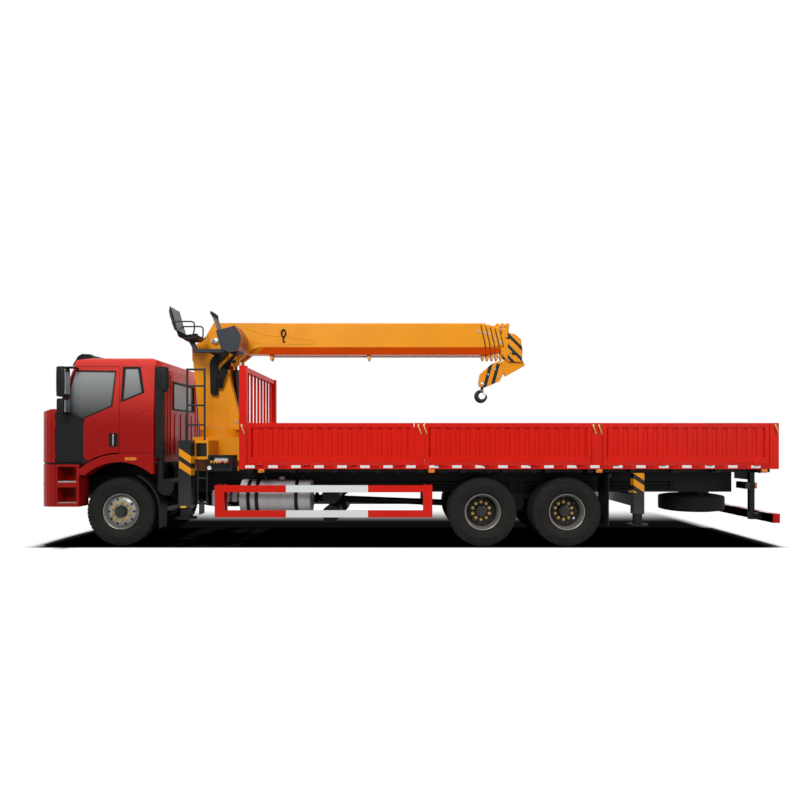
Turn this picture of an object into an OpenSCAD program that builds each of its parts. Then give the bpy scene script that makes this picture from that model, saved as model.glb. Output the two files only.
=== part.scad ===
// Flatbed lorry with a slewing telescopic crane behind the cab.
// Forward is -X, the vehicle's left side is -Y, +Z is up and the ground is at z = 0.

/* [Vehicle] */
// Overall length, front face of the cab to the tailgate hinges
overall_l = 11940; // [11700:10:12200]
// Width over the load bed
bed_w = 2500; // [2460:2:2540]
// Front axle centre behind the front face
front_overhang = 1360; // [1340:5:1380]
// Front axle to first rear axle
wheelbase = 5825; // [5700:5:5900]
// Spacing of the two rear axles
tandem = 1350; // [1320:5:1400]

/* [Wheels] */
// Outer radius of every tyre
tyre_r = 550; // [535:1:560]
// Section width of every tyre
tyre_w = 290; // [275:1:300]
// Rim radius at the bead seat
rim_r = 262; // [255:1:270]
// Half distance between the front tyre centres
front_track = 1010; // [1000:1:1020]
// Half distance between the middles of the rear twins
rear_track = 930; // [925:1:940]
// Distance between the two tyres of a twin
twin_gap = 330; // [325:1:340]
// Half distance between the kingpins
kingpin_y = 870; // [865:1:875]

/* [Frame] */
// Underside of the frame rails
rail_z = 820; // [810:5:840]
// Height of a frame rail
rail_h = 280; // [270:5:290]
// Outer half width of the frame
rail_y = 430; // [420:1:440]
// Height of the subframe on the rails
sub_h = 80; // [70:1:90]

/* [Bed] */
// Length of the load bed
bed_l = 8647; // [8560:1:8700]
// Height of the cross bearers
bearer_h = 90; // [80:1:100]
// Thickness of the deck
deck_t = 50; // [40:1:60]
// Height of the drop sides
gate_h = 650; // [600:5:700]
// Thickness of the drop sides
gate_t = 45; // [40:1:50]
// Width of a stake post
post_w = 170; // [160:1:180]
// Height of the headboard above the deck
headboard_h = 1570; // [1500:5:1600]

/* [Cab] */
// Underside of the cab
cab_z = 1340; // [1330:1:1360]
// Height of the cab
cab_h = 1690; // [1660:1:1700]
// Length of the cab
cab_l = 1920; // [1900:1:1930]
// Half width of the cab
cab_y = 1225; // [1215:1:1230]
// Thickness of the cab walls and doors
cab_t = 50; // [40:1:55]

/* [Crane] */
// Slew axis ahead of the load bed
slew_ahead = 593; // [585:1:605]
// Underside of the slewing column
column_z = 1830; // [1820:1:1850]
// Luff pivot above the column's underside
luff_up = 1600; // [1580:5:1620]
// Luff pivot ahead of the slew axis
luff_ahead = 50; // [40:1:60]
// Width of the boom's base section
boom_w = 400; // [390:1:410]
// Height of the boom's base section
boom_h = 540; // [530:1:550]
// Luff pivot to the end of the base section
boom_l = 4700; // [4600:5:4800]
// Wall of every boom section
boom_t = 10; // [8:1:11]
// Step between two boom sections on each side
boom_step = 18; // [17:1:19]

/* [Outriggers] */
// Width of an outrigger's jack tube
jack_w = 200; // [190:1:210]
// Underside of the feet at rest
foot_z = 440; // [430:1:460]

/* [Hidden] */
$fn = 48;

// Paint colours
red = "firebrick";
yellow = "orange";
black = "dimgray";
steel = "silver";

// Places along the vehicle
front_x = -overall_l / 2;
axle_f = front_x + front_overhang;
axle_1 = axle_f + wheelbase;
axle_2 = axle_1 + tandem;
hinge_r = 14;
hinge_out = hinge_r + 1;
bed_x1 = overall_l / 2 - hinge_r - hinge_out;
bed_x0 = overall_l / 2 - bed_l;
bed_y = bed_w / 2;
slew_x = bed_x0 - slew_ahead;
cab_x0 = front_x;
cab_x1 = cab_x0 + cab_l;

// Heights
frame_top = rail_z + rail_h;
sub_top = frame_top + sub_h;
deck_z = sub_top + bearer_h + deck_t;
ledge_z = deck_z - 2;
gate_z = deck_z + 6;
cab_top = cab_z + cab_h;
gap = 6;
fit = 0.3;
run = 0.05;

// A block given by its corners
module block(x, y, z) translate([x[0], y[0], z[0]]) cube([x[1] - x[0], y[1] - y[0], z[1] - z[0]]);
module xrod(r, x, y, z) translate([x[0], y, z]) rotate([0, 90, 0]) cylinder(r = r, h = x[1] - x[0]);
module yrod(r, x, y, z) translate([x, y[0], z]) rotate([-90, 0, 0]) cylinder(r = r, h = y[1] - y[0]);
module zrod(r, x, y, z) translate([x, y, z[0]]) cylinder(r = r, h = z[1] - z[0]);
// An outline in X and Z drawn out along Y, one in Y and Z along X, one in X and Y along Z
module side_prism(y) translate([0, y[1], 0]) rotate([90, 0, 0]) linear_extrude(y[1] - y[0]) children();
module front_prism(x) translate([x[0], 0, 0]) rotate([90, 0, 90]) linear_extrude(x[1] - x[0]) children();
module plan_prism(z) translate([0, 0, z[0]]) linear_extrude(z[1] - z[0]) children();
module both_sides() {
    children();
    mirror([0, 1, 0]) children();
}
function arc(c, r, a, n = 6) =
    [for (i = [0:n]) c + r * [cos(a[0] + (a[1] - a[0]) * i / n), sin(a[0] + (a[1] - a[0]) * i / n)]];
function span(from, r) = [from + r[0], from + r[1]];
// A point of the side view moved back to a place along the vehicle
function at(x, z, points) = [for (p = points) [x + p[0], z + p[1]]];

// Frame rails of channel section, the subframe on them and the cross members
flange = 80;
rail_t = 12;
rail_x = [front_x + 320, bed_x1 - 370];
member_n = 8;
member_w = 110;
module chassis_frame() color(black) {
    channel = [[0, 0], [flange, 0], [flange, rail_t], [rail_t, rail_t], [rail_t, rail_h - rail_t],
        [flange, rail_h - rail_t], [flange, rail_h], [0, rail_h]];
    both_sides() {
        front_prism(rail_x) polygon(at(-rail_y, rail_z, channel));
        block([slew_x - 520, rail_x[1]], [-rail_y, -rail_y + flange], [frame_top, sub_top]);
        for (x = [rail_x[0], cab_x1 - 180])
            block([x, x + 90], [-rail_y, -rail_y + flange], [frame_top - rail_t, cab_z - fit]);
    }
    reach = rail_y - rail_t / 2;
    block([rail_x[0], rail_x[0] + member_w], [-reach, reach], [rail_z + 30, frame_top - 30]);
    for (i = [0:member_n - 1]) {
        x = cab_x1 + (rail_x[1] - member_w - cab_x1) * i / (member_n - 1);
        block([x, x + member_w], [-reach, reach], [rail_z + 40, frame_top - 40]);
    }
}

// A pack of leaves bent up at both ends: half its length, its rise and its thickness in the middle
function leaf_pack(half, rise, thick, n = 8) = concat(
    [for (i = [-n:n]) [half * i / n, rise * i * i / n / n]],
    [for (i = [n:-1:-n]) [half * i / n, rise * i * i / n / n + thick - (thick - 24) * abs(i) / n]]);

spring_w = 90;
front_spring_half = 760;
front_spring_rise = 130;
front_spring_z = 515;
rear_spring_z = 640;
boss_r = 55;
boss_h = 120;
kingpin_r = 25;
beam_drop = 90;
axle_tube_r = 75;
spindle_r = 60;
trunnion_y = rail_y + 30;

module front_axle() {
    half = 55;
    fork_y = kingpin_y - boss_r - gap;
    outline = [[kingpin_y, tyre_r - half], [kingpin_y, tyre_r + half],
        [kingpin_y - 140, tyre_r + half - 20],
        [rail_y + 80, tyre_r - 30], [-rail_y - 80, tyre_r - 30], [-kingpin_y + 140, tyre_r + half - 20],
        [-kingpin_y, tyre_r + half], [-kingpin_y, tyre_r - half], [-fork_y, tyre_r - half],
        [-rail_y - 120, tyre_r - half - beam_drop], [rail_y + 120, tyre_r - half - beam_drop],
        [fork_y, tyre_r - half]];
    difference() {
        union() {
            front_prism([axle_f - 45, axle_f + 45]) polygon(outline);
            both_sides() zrod(boss_r, axle_f, -kingpin_y, [tyre_r - boss_h / 2, tyre_r + boss_h / 2]);
        }
        both_sides() zrod(kingpin_r + 0.05, axle_f, -kingpin_y, [tyre_r - boss_h, tyre_r + boss_h]);
    }
}

// A front spring on its axle, with the hangers that meet the rail
module front_spring() {
    y = [-rail_y, -rail_y + spring_w];
    side_prism(y) polygon(at(axle_f, front_spring_z, leaf_pack(front_spring_half, front_spring_rise, 90)));
    end_z = front_spring_z + front_spring_rise;
    for (side = [-1, 1]) {
        x = axle_f + side * (front_spring_half - 30);
        block([x - 30, x + 30], y, [end_z - 20, rail_z]);
    }
}

module rear_axle(x) {
    yrod(axle_tube_r, x, [-rear_track + 260, rear_track - 260], tyre_r);
    yrod(spindle_r, x, [-rear_track - 80, rear_track + 80], tyre_r);
    translate([x, 0, tyre_r]) sphere(r = 205);
    xrod(90, [x - 300, x], 0, tyre_r + 40);
    both_sides()
        block([x - 70, x + 70], [-trunnion_y - spring_w, -trunnion_y], [tyre_r, rear_spring_z + 40]);
}

// The rear spring of one side rests on both axles and turns on a trunnion bracket
module rear_spring() {
    mid = (axle_1 + axle_2) / 2;
    y = [-trunnion_y - spring_w, -trunnion_y];
    pack = [for (p = leaf_pack(tandem / 2 + 60, 120, 130)) [p[0], 90 - p[1]]];
    side_prism(y) polygon(at(mid, rear_spring_z + 90, pack));
    side_prism([-trunnion_y, -rail_y]) polygon([[mid - 160, frame_top - 30], [mid - 90, tyre_r - 60],
        [mid + 90, tyre_r - 60], [mid + 160, frame_top - 30]]);
    yrod(70, mid, [y[0] - 20, -trunnion_y + 10], rear_spring_z - 60);
    block([mid - 100, mid + 100], y, [rear_spring_z - 70, rear_spring_z + 60]);
}

module axles_and_springs() color(black) {
    front_axle();
    both_sides() front_spring();
    rear_axle(axle_1);
    rear_axle(axle_2);
    both_sides() rear_spring();
}

// Engine block with its sump, between the rails on two pairs of mounts
engine_x = [front_x + 520, front_x + 1720];
engine_y = rail_y - 130;
module engine() color(black) {
    block(engine_x, [-engine_y, engine_y], [rail_z - 20, cab_z - 40]);
    block([engine_x[0] + 80, engine_x[1] - 500], [-engine_y + 80, engine_y - 80], [rail_z - 180, rail_z]);
    both_sides() for (x = [engine_x[0] + 120, engine_x[1] - 220])
        block([x, x + 100], [-rail_y + rail_t, -engine_y + 1], [rail_z + 80, rail_z + 160]);
}

bumper_z = [635, cab_z - 28];
step_x = [front_x + 350, axle_f - 635];
lamp_z = [900, 1080];

// The front of the vehicle in plan: a shallow bow between two rounded corners
bow = 45;
corner_r = 285;
function bowed(x, t, back, bow, r) = concat(
    [[back, -cab_y + t]],
    arc([x + bow + r, -cab_y + r], r - t, [270, 180]),
    [for (i = [-3:3]) [x + t + bow * i * i / 16, (cab_y - r) * i / 4]],
    arc([x + bow + r, cab_y - r], r - t, [180, 90]),
    [[back, cab_y - t]]);
function plan(t, back) = bowed(cab_x0, t, back, bow, corner_r);

module front_bumper() color(red) {
    difference() {
        plan_prism(bumper_z) polygon(plan(0, step_x[0] - 12));
        plan_prism([bumper_z[0] - 1, bumper_z[1] + 1]) polygon(plan(60, step_x[0]));
        both_sides() block([front_x - 1, front_x + 150], [-cab_y + 140, -cab_y + 560], lamp_z);
        block([front_x - 1, front_x + 200], [-450, 450], [lamp_z[0] + 20, bumper_z[1] - 80]);
        block([front_x - 1, front_x + 200], [-560, 560], [bumper_z[0] + 60, lamp_z[0] - 60]);
    }
    both_sides() block([front_x + 40, rail_x[0]], [-rail_y + 5, -rail_y + flange - 5],
        [lamp_z[0] - 45, frame_top - 60]);
}

// A step box beside each front wheel, and the arch that runs on over the wheel
step_depth = 330;
arch_r = 800;
arch_t = 130;
module step_fender() {
    y = [-cab_y, -cab_y + step_depth];
    top = cab_z + 150;
    difference() {
        block(step_x, y, bumper_z);
        for (z = [bumper_z[0] + 60, bumper_z[0] + 390])
            block([step_x[0] + 30, step_x[1] - 40], [-cab_y - 1, -cab_y + step_depth - 50], [z, z + 250]);
    }
    difference() {
        union() {
            intersection() {
                yrod(arch_r + arch_t, axle_f, [-cab_y, -cab_y + 260], tyre_r);
                block([step_x[1] - 20, axle_f], [-cab_y, 0], [tyre_r + 590, top]);
            }
            block([axle_f, cab_x1], [-cab_y, -cab_y + 260], [tyre_r + 610, top]);
        }
        yrod(arch_r, axle_f, [-cab_y - 1, -cab_y + 300], tyre_r);
        block([axle_f - 2000, axle_f + 2000], [-cab_y + 40, 0], [cab_z - gap, top + 1]);
    }
    block(span(step_x[0], [100, 180]), [-cab_y + step_depth - 20, -rail_y], span(rail_z, [60, 180]));
}
module step_fenders() color(red) both_sides() step_fender();

// Lamps: headlamps in the bumper, amber markers under the bed, tail lamps on the rear posts
marker = [95, 45, 60];
marker_at = [0.035, 0.35, 0.66, 0.965];
tail_post_x = [bed_x1 - 290, bed_x1 - 210];
tail_post_y = [820, 900];
module lamps() color(yellow) both_sides() {
    intersection() {
        block([front_x - 1, front_x + 150], [-cab_y + 140, -cab_y + 560], lamp_z);
        difference() {
            plan_prism(lamp_z) polygon(plan(4, step_x[0]));
            plan_prism(lamp_z + [-1, 1]) polygon(plan(60, step_x[0]));
        }
    }
    for (share = marker_at)
        translate([bed_x0 + share * bed_l, -bed_y + 12, sub_top]) cube(marker);
    block([tail_post_x[0] - 70, tail_post_x[0]], [-tail_post_y[1], -tail_post_y[1] + 330], [900, 1010]);
}

// A curved guard and flap behind each front wheel, and a flap behind each rear tandem
guard_r = 640;
guard_t = 30;
flap_t = 12;
module mudguards() color(black) both_sides() {
    y = [-cab_y + 20, -cab_y + 340];
    intersection() {
        difference() {
            yrod(guard_r + guard_t, axle_f, y, tyre_r);
            yrod(guard_r, axle_f, y + [-1, 1], tyre_r);
        }
        block([axle_f + 300, axle_f + 900], y, [tyre_r - 20, tyre_r + 590]);
    }
    block([axle_f + guard_r, axle_f + guard_r + flap_t], y, [tyre_r - 260, tyre_r + 20]);
    block([axle_f + 380, axle_f + 430], [-cab_y + 200, -rail_y], [tyre_r + 500, tyre_r + 545]);
    x = axle_2 + tyre_r + 110;
    block([x, x + flap_t], [-rear_track - 290, -rear_track + 290], [tyre_r - 230, sub_top - 20]);
    block([x + flap_t, x + 60], [-rear_track - 250, -rail_y], [sub_top - 80, sub_top - 20]);
}

// A round fuel tank with its straps on the left, an air tank pair and a filter
tank_ahead = slew_x + 545;
tank_room = axle_1 - tyre_r - tank_ahead;
tank_x = [tank_ahead, tank_ahead + 0.338 * tank_room];
tank_r = 290;
tank_y = -rail_y - tank_r - 45;
tank_z = 760;
strap_w = 60;
module fuel_tank() color(steel) {
    xrod(tank_r, tank_x, tank_y, tank_z);
    for (share = [0.1, 0.22, 0.78]) {
        x = tank_x[0] + share * (tank_x[1] - tank_x[0]);
        xrod(tank_r + 8, [x, x + strap_w], tank_y, tank_z);
        block([x, x + strap_w], [tank_y, -rail_y], [tank_z - tank_r - 8, tank_z - tank_r + 60]);
        block([x, x + strap_w], [-rail_y - 40, -rail_y], [tank_z - tank_r, frame_top]);
    }
    zrod(50, tank_x[0] + 640, tank_y, [tank_z, tank_z + tank_r + 45]);
}

air_r = 140;
filter_r = 130;
filter_x = cab_x1 + 190;
module air_tanks() color(black) {
    x = tank_x[1] + 0.059 * tank_room;
    both_sides() for (z = [rail_z - 20, rail_z - 20 - 2 * air_r - 20]) {
        yrod(air_r, x + air_r, [-rail_y - 620, -rail_y - 10], z);
        block([x + air_r - 30, x + air_r + 30], [-rail_y - 300, -rail_y], [z - 40, rail_z + 120]);
    }
    // Filter canister and the duct that comes down to it
    yrod(filter_r, filter_x, [-cab_y + 10, -cab_y + 500], rail_z + 130);
    block([filter_x - 60, filter_x + 60], [-cab_y + 400, -rail_y], [rail_z + 60, rail_z + 140]);
    zrod(55, cab_x1 + 95, -cab_y + 70, [rail_z + 130, cab_z + 70]);
}

// Side guards between the axles
guard_x = [slew_x + 200, axle_1 - tyre_r - 255];
guard_z = [467, 980];
guard_h = 112;
guard_d = 45;
module side_guards() both_sides() {
    y = [-bed_y + 10, -bed_y + 10 + guard_d];
    difference() {
        block(guard_x, y, guard_z);
        block(guard_x + [150, -150], [y[0] - 1, y[1] + 1], guard_z + [guard_h, -guard_h]);
    }
    for (x = guard_x - [0, guard_d]) block([x, x + guard_d], [y[0], y[0] + 300], guard_z);
    for (share = [0.03, 0.97]) {
        x = guard_x[0] + share * (guard_x[1] - guard_x[0]) - 30;
        block([x, x + 60], [y[0] + 230, y[0] + 290], [guard_z[0], guard_z[1]]);
        block([x, x + 60], [y[0], -rail_y], [guard_z[1] - 100, guard_z[1] - 40]);
    }
}

// Rear underrun bar on two posts
bar_z = [380, 520];
module rear_underrun() {
    block([bed_x1 - 85, bed_x1 + 20], [-bed_y + 20, bed_y - 20], bar_z);
    both_sides() {
        block(tail_post_x, -[tail_post_y[1], tail_post_y[0]], [bar_z[0] + 20, sub_top]);
        block([tail_post_x[0], bed_x1 - 80], -[tail_post_y[1], tail_post_y[0]], bar_z + [20, -20]);
    }
}

module guards() color(red) {
    side_guards();
    rear_underrun();
}

// Load bed: deck, side rails, bearers, sills and the fixed ears of the hinges
side_rail_h = 80;
bearer_n = 13;
bearer_w = 90;
ear_l = 24;
knuckle_l = 40;
hinge_y = bed_y + hinge_out;
hinge_z = deck_z - 10;
gates_per_side = 3;
front_post_w = 125;
rear_post_w = 150;
hinges_per_gate = 4;
gate_l = (bed_x1 - rear_post_w - bed_x0 - front_post_w - (gates_per_side - 1) * post_w) / gates_per_side;
tail_w = bed_w - 2 * gate_t - 2 * gap;
function gate_x(i) = bed_x0 + front_post_w + i * (gate_l + post_w);
function hinge_at(i, l) = l * (i + 0.28) / (hinges_per_gate - 0.44);

// The two ears of one hinge, with its axis along X and the rail on the +Y side
module ears() for (side = [-1, 1]) {
    x = side * (knuckle_l / 2 + 1 + ear_l / 2);
    xrod(hinge_r, [x - ear_l / 2, x + ear_l / 2], 0, 0);
    block([x - ear_l / 2, x + ear_l / 2], [0, hinge_out + 1], [-hinge_r, 0]);
}

module bed_floor() color(red) {
    rail_top = [deck_z - side_rail_h, ledge_z];
    inset = gate_t + gap;
    block([bed_x0, bed_x1], [-bed_y, bed_y], [deck_z - deck_t, ledge_z]);
    block([bed_x0 + front_post_w, bed_x1 - inset], [-bed_y + inset, bed_y - inset],
        [deck_z - deck_t, deck_z]);
    both_sides() {
        block([bed_x0, bed_x1], [-bed_y, -bed_y + 45], rail_top);
        block([bed_x0 + 20, bed_x1 - 20], [-1015, -945], [sub_top, deck_z - deck_t + 1]);
        for (i = [0:gates_per_side - 1], j = [0:hinges_per_gate - 1])
            translate([gate_x(i) + hinge_at(j, gate_l), -hinge_y, hinge_z]) ears();
    }
    for (j = [0:hinges_per_gate - 1])
        translate([bed_x1 + hinge_out, -tail_w / 2 + hinge_at(j, tail_w), hinge_z])
            rotate([0, 0, 90]) ears();
    block([bed_x1 - 45, bed_x1], [-bed_y, bed_y], rail_top);
    for (i = [0:bearer_n - 1]) {
        x = bed_x0 + 120 + (tail_post_x[0] - 20 - bed_x0 - 120) * i / (bearer_n - 1);
        block([x, x + bearer_w], [-bed_y + 60, bed_y - 60], [sub_top, deck_z - deck_t + 1]);
    }
}

// Headboard with its barred window, and the fixed stake posts of the sides
head_post = 90;
head_bars = 8;
bar_w = 36;
rib_pitch = 157;
// A ribbed sheet in plan: flat at the back, with ribs that stand out to the front
function ribbed(l, front, back) = let (n = round(l / rib_pitch), p = l / n) concat(
    [[l, back], [0, back]],
    [for (i = [0:n - 1], q = [[0.1, 18], [0.2, 0], [0.7, 0], [0.8, 18]]) [(i + q[0]) * p, front + q[1]]],
    [[l, front + 18]]);

module headboard() color(red) {
    x = [bed_x0, bed_x0 + front_post_w - gap];
    top = deck_z + headboard_h;
    sill = gate_z + gate_h;
    both_sides() {
        block(x, [-bed_y, -bed_y + head_post], [ledge_z, top]);
        for (i = [1:gates_per_side - 1])
            block([gate_x(i) - post_w + gap, gate_x(i) - gap], [-bed_y, -bed_y + gate_t], [ledge_z, sill]);
        block([bed_x1 - rear_post_w + gap, bed_x1], [-bed_y, -bed_y + gate_t], [ledge_z, sill]);
    }
    inner = bed_y - head_post + 1;
    block([x[0] + 20, x[1] - 20], [-inner, inner], [top - 90, top - 10]);
    block([x[0] + 20, x[1] - 20], [-inner, inner], [sill - 60, sill + 20]);
    translate([x[0] + 25, -inner, ledge_z]) rotate([0, 0, 90]) mirror([0, 1, 0])
        linear_extrude(sill - ledge_z - 50) polygon(ribbed(2 * inner, 0, 50));
    for (i = [1:head_bars]) {
        y = -inner + 2 * inner * i / (head_bars + 1);
        block([x[0] + 45, x[0] + 45 + bar_w], [y - bar_w / 2, y + bar_w / 2], [sill, top - 80]);
    }
}

// One drop side, from its front end at x = 0: outer face at y = 0, inboard along +Y
stile_w = 70;
rail_w = 75;
lug_r = 50;
module drop_side(l) {
    difference() {
        block([gap, l - gap], [0, gate_t], [0, gate_h]);
        block([stile_w, l - stile_w], [-1, gate_t + 1], [rail_w + 25, gate_h - rail_w]);
    }
    translate([stile_w - 1, 0, rail_w + 24]) linear_extrude(gate_h - 2 * rail_w - 23)
        polygon(ribbed(l - 2 * stile_w + 2, 10, gate_t));
    for (i = [0:hinges_per_gate - 1]) translate([hinge_at(i, l), 0, 0]) {
        drop = gate_z - hinge_z;
        translate([0, -hinge_out, -drop]) {
            xrod(hinge_r, [-knuckle_l / 2, knuckle_l / 2], 0, 0);
            block([-knuckle_l / 2, knuckle_l / 2], [0, hinge_out - 1], [0, drop + 10]);
        }
        intersection() {
            yrod(lug_r, 0, [-hinge_out, 1], 0);
            block([-lug_r, lug_r], [-hinge_out, 1], [0, lug_r]);
        }
    }
}
module gate_left(i) color(red) translate([gate_x(i), -bed_y, gate_z]) drop_side(gate_l);
module gate_right(i) mirror([0, 1, 0]) gate_left(i);
module tailgate() color(red) translate([bed_x1, -tail_w / 2, gate_z]) rotate([0, 0, 90]) drop_side(tail_w);

// A tyre and its wheel, turned about Y: outer side on -Y
bead_w = 105;
tread_w = 115;
shoulder = 30;
function tyre_outline() = concat(
    [[rim_r + fit, -bead_w], [rim_r + 24, -bead_w], [rim_r + 50, -bead_w - 18]],
    [[(rim_r + tyre_r) / 2, -tyre_w / 2], [tyre_r - 70, -tyre_w / 2 + 12]],
    arc([tyre_r - shoulder, -tread_w + shoulder - 8], shoulder, [-90, 0], 4),
    arc([tyre_r - shoulder, tread_w - shoulder + 8], shoulder, [0, 90], 4),
    [[tyre_r - 70, tyre_w / 2 - 12], [(rim_r + tyre_r) / 2, tyre_w / 2]],
    [[rim_r + 50, bead_w + 18], [rim_r + 24, bead_w], [rim_r + fit, bead_w]],
    [[rim_r + fit, 60], [rim_r + 60, 60], [rim_r + 60, -60], [rim_r + fit, -60]]);
module about_y(x, y, z) translate([x, y, z]) rotate([90, 0, 0]) children();
module tyre(y) about_y(0, y, 0) rotate_extrude($fn = 72) polygon(tyre_outline());

// Rim barrel with its disc: offset of the disc from the rim's middle, positive to the outside
disc_t = 14;
hub_r = 140;
hole_n = 10;
module rim(offset, cone) difference() {
    about_y(0, 0, 0) rotate_extrude($fn = 72) polygon([
        [rim_r - 18, -bead_w - 14], [rim_r + 20, -bead_w - 14], [rim_r + 20, -bead_w - 2 - fit],
        [rim_r, -bead_w - fit], [rim_r, bead_w + fit], [rim_r + 20, bead_w + 2 + fit],
        [rim_r + 20, bead_w + 14],
        [rim_r - 18, bead_w + 14], [rim_r - 18, offset - cone], [hub_r + 40, offset], [hub_r - 20, offset],
        [hub_r - 20, offset - disc_t], [hub_r + 36, offset - disc_t],
        [rim_r - 18, offset - cone - disc_t - 8]]);
    for (i = [0:hole_n - 1]) rotate([0, 360 * (i + 0.5) / hole_n, 0])
        translate([rim_r - 52, 0, 0]) rotate([90, 0, 0]) cylinder(r = 22, h = 400, center = true);
}

module front_hub() difference() {
    about_y(0, 0, 0) rotate_extrude($fn = 72) polygon([
        [0, 175], [75, 175], [95, 160], [95, 128], [hub_r, 128], [hub_r, 100], [100, 100], [100, 20],
        [200, 10], [200, -95], [185, -95], [185, -5], [80, 5], [80, -35], [0, -35]]);
    yrod(spindle_r + 0.05, 0, [-60, 200], 0);
}

// Wheel with its outer side on -Y, at the wheel centre
module front_wheel_parts() {
    tyre(0);
    rim(105, 20);
    front_hub();
}
module front_wheel_left() color(black) translate([axle_f, -front_track, tyre_r]) front_wheel_parts();
module front_wheel_right() color(black) mirror([0, 1, 0]) front_wheel_left();

module rear_hub() difference() {
    about_y(0, 0, 0) rotate_extrude($fn = 72) polygon([
        [0, 150], [90, 150], [115, 135], [115, 20], [hub_r + 30, 18], [hub_r + 30, -18], [205, -60],
        [205, -240], [190, -240], [190, -70], [100, -60], [100, -150], [0, -150]]);
    yrod(spindle_r + 0.05, 0, [-90, 200], 0);
}
module rear_wheel_parts() {
    for (side = [-1, 1]) translate([0, side * twin_gap / 2, 0]) tyre(0);
    translate([0, -twin_gap / 2, 0]) rim(-twin_gap / 2 + 32, -60);
    translate([0, twin_gap / 2, 0]) mirror([0, 1, 0]) rim(-twin_gap / 2 + 32, -60);
    rear_hub();
}
module rear_wheels(x) color(black) translate([x, -rear_track, tyre_r]) rear_wheel_parts();

// Spare wheel flat under the tail, on a carrier below the rails
spare_x = bed_x1 - 891;
module spare_wheel() color(black) {
    z = rail_z - 62 - tyre_w / 2;
    translate([spare_x, 0, z]) rotate([90, 0, 0]) {
        tyre(0);
        rim(60, 20);
    }
    block([spare_x - 60, spare_x + 60], [-rail_y, rail_y], [z + tyre_w / 2 + 1, rail_z]);
    zrod(30, spare_x, 0, [z - 80, z + tyre_w / 2 + 2]);
    zrod(130, spare_x, 0, [z - 80, z - 60 - 0.3]);
}

// Steering knuckle: a fork round the axle's boss, and the spindle the front hub turns on
module knuckle() {
    fork_z = boss_h / 2 + 1;
    for (side = [-1, 1]) {
        z = tyre_r + side * (fork_z + 22);
        zrod(boss_r, axle_f, -kingpin_y, [z - 22, z + 22]);
        block([axle_f - 45, axle_f + 45], [-kingpin_y - 90, -kingpin_y], [z - 22, z + 22]);
    }
    zrod(kingpin_r, axle_f, -kingpin_y, [tyre_r - fork_z - 1, tyre_r + fork_z + 1]);
    block([axle_f - 45, axle_f + 45], [-kingpin_y - 95, -kingpin_y - boss_r - 6],
        [tyre_r - fork_z - 44, tyre_r + fork_z + 44]);
    yrod(spindle_r, axle_f, [-front_track - 45, -kingpin_y - 60], tyre_r);
}
module knuckle_left() color(black) knuckle();
module knuckle_right() color(black) mirror([0, 1, 0]) knuckle();

// Crane base: a saddle on the subframe, the cross box of the outriggers and the pedestal
base_x = [slew_x - 390, slew_x + 400];
base_y = 450;
box_z = [1390, 1700];
box_y = 1035;
ring_r = 385;
ring_h = 70;
beam_w = 170;
beam_h = 210;
slide_gap = 5;
beam_z = (box_z[0] + box_z[1]) / 2;
beam_x_left = slew_x - 275;
beam_x_right = slew_x - 75;
module crane_base() color(yellow) difference() {
    union() {
        block(base_x, [-base_y, base_y], [sub_top, box_z[0]]);
        block([base_x[0], slew_x + 40], [-box_y, box_y], box_z);
        block(base_x, [-base_y, base_y], [box_z[0], column_z - ring_h]);
        zrod(ring_r, slew_x, 0, [column_z - ring_h - 1, column_z]);
    }
    for (x = [beam_x_left, beam_x_right])
        block([x - beam_w / 2 - slide_gap, x + beam_w / 2 + slide_gap], [-box_y - 1, box_y + 1],
            [beam_z - beam_h / 2 - slide_gap, beam_z + beam_h / 2 + slide_gap]);
    both_sides() block([slew_x + 120, base_x[1] + 1], [-base_y - 1, -base_y + 160],
        [sub_top + 60, box_z[0] - 40]);
}

// An outrigger beam with the jack tube on its outer end; the foot's square leg slides in the tube
tube_wall = 20;
tube_top = 1700;
foot_r = 165;
foot_t = 30;
tube_z = foot_z + 180;
module front_beam(x) {
    tube_y = [-bed_y, -bed_y + jack_w];
    difference() {
        union() {
            block([x - jack_w / 2, x + jack_w / 2], tube_y, [tube_z, tube_top]);
            block([x - beam_w / 2, x + beam_w / 2], [tube_y[1] - 1, box_y - 35],
                [beam_z - beam_h / 2, beam_z + beam_h / 2]);
            block([x - beam_w / 3, x + beam_w / 3], [tube_y[1] - 1, box_y - 35],
                [beam_z - beam_h / 2 - slide_gap + fit, beam_z]);
        }
        block([x - jack_w / 2 + tube_wall, x + jack_w / 2 - tube_wall], tube_y + [tube_wall, -tube_wall],
            [tube_z - 1, tube_top - tube_wall]);
    }
}
module jack(x, y, w, z0, leg_top) {
    half = w / 2 - tube_wall - slide_gap;
    block([x - half, x + half], [y - half, y + half], [z0 + foot_t, leg_top]);
    zrod(foot_r, x, y, [z0, z0 + foot_t]);
    zrod(half + 15, x, y, [z0 + foot_t - 1, z0 + foot_t + 50]);
}
module front_beam_left() color(black) front_beam(beam_x_left);
module front_beam_right() color(black) mirror([0, 1, 0]) front_beam(beam_x_right);
module front_jack_left() color(black)
    jack(beam_x_left, -bed_y + jack_w / 2, jack_w, foot_z, tube_top - tube_wall - fit);
module front_jack_right() color(black)
    mirror([0, 1, 0]) jack(beam_x_right, -bed_y + jack_w / 2, jack_w, foot_z, tube_top - tube_wall - fit);

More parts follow.
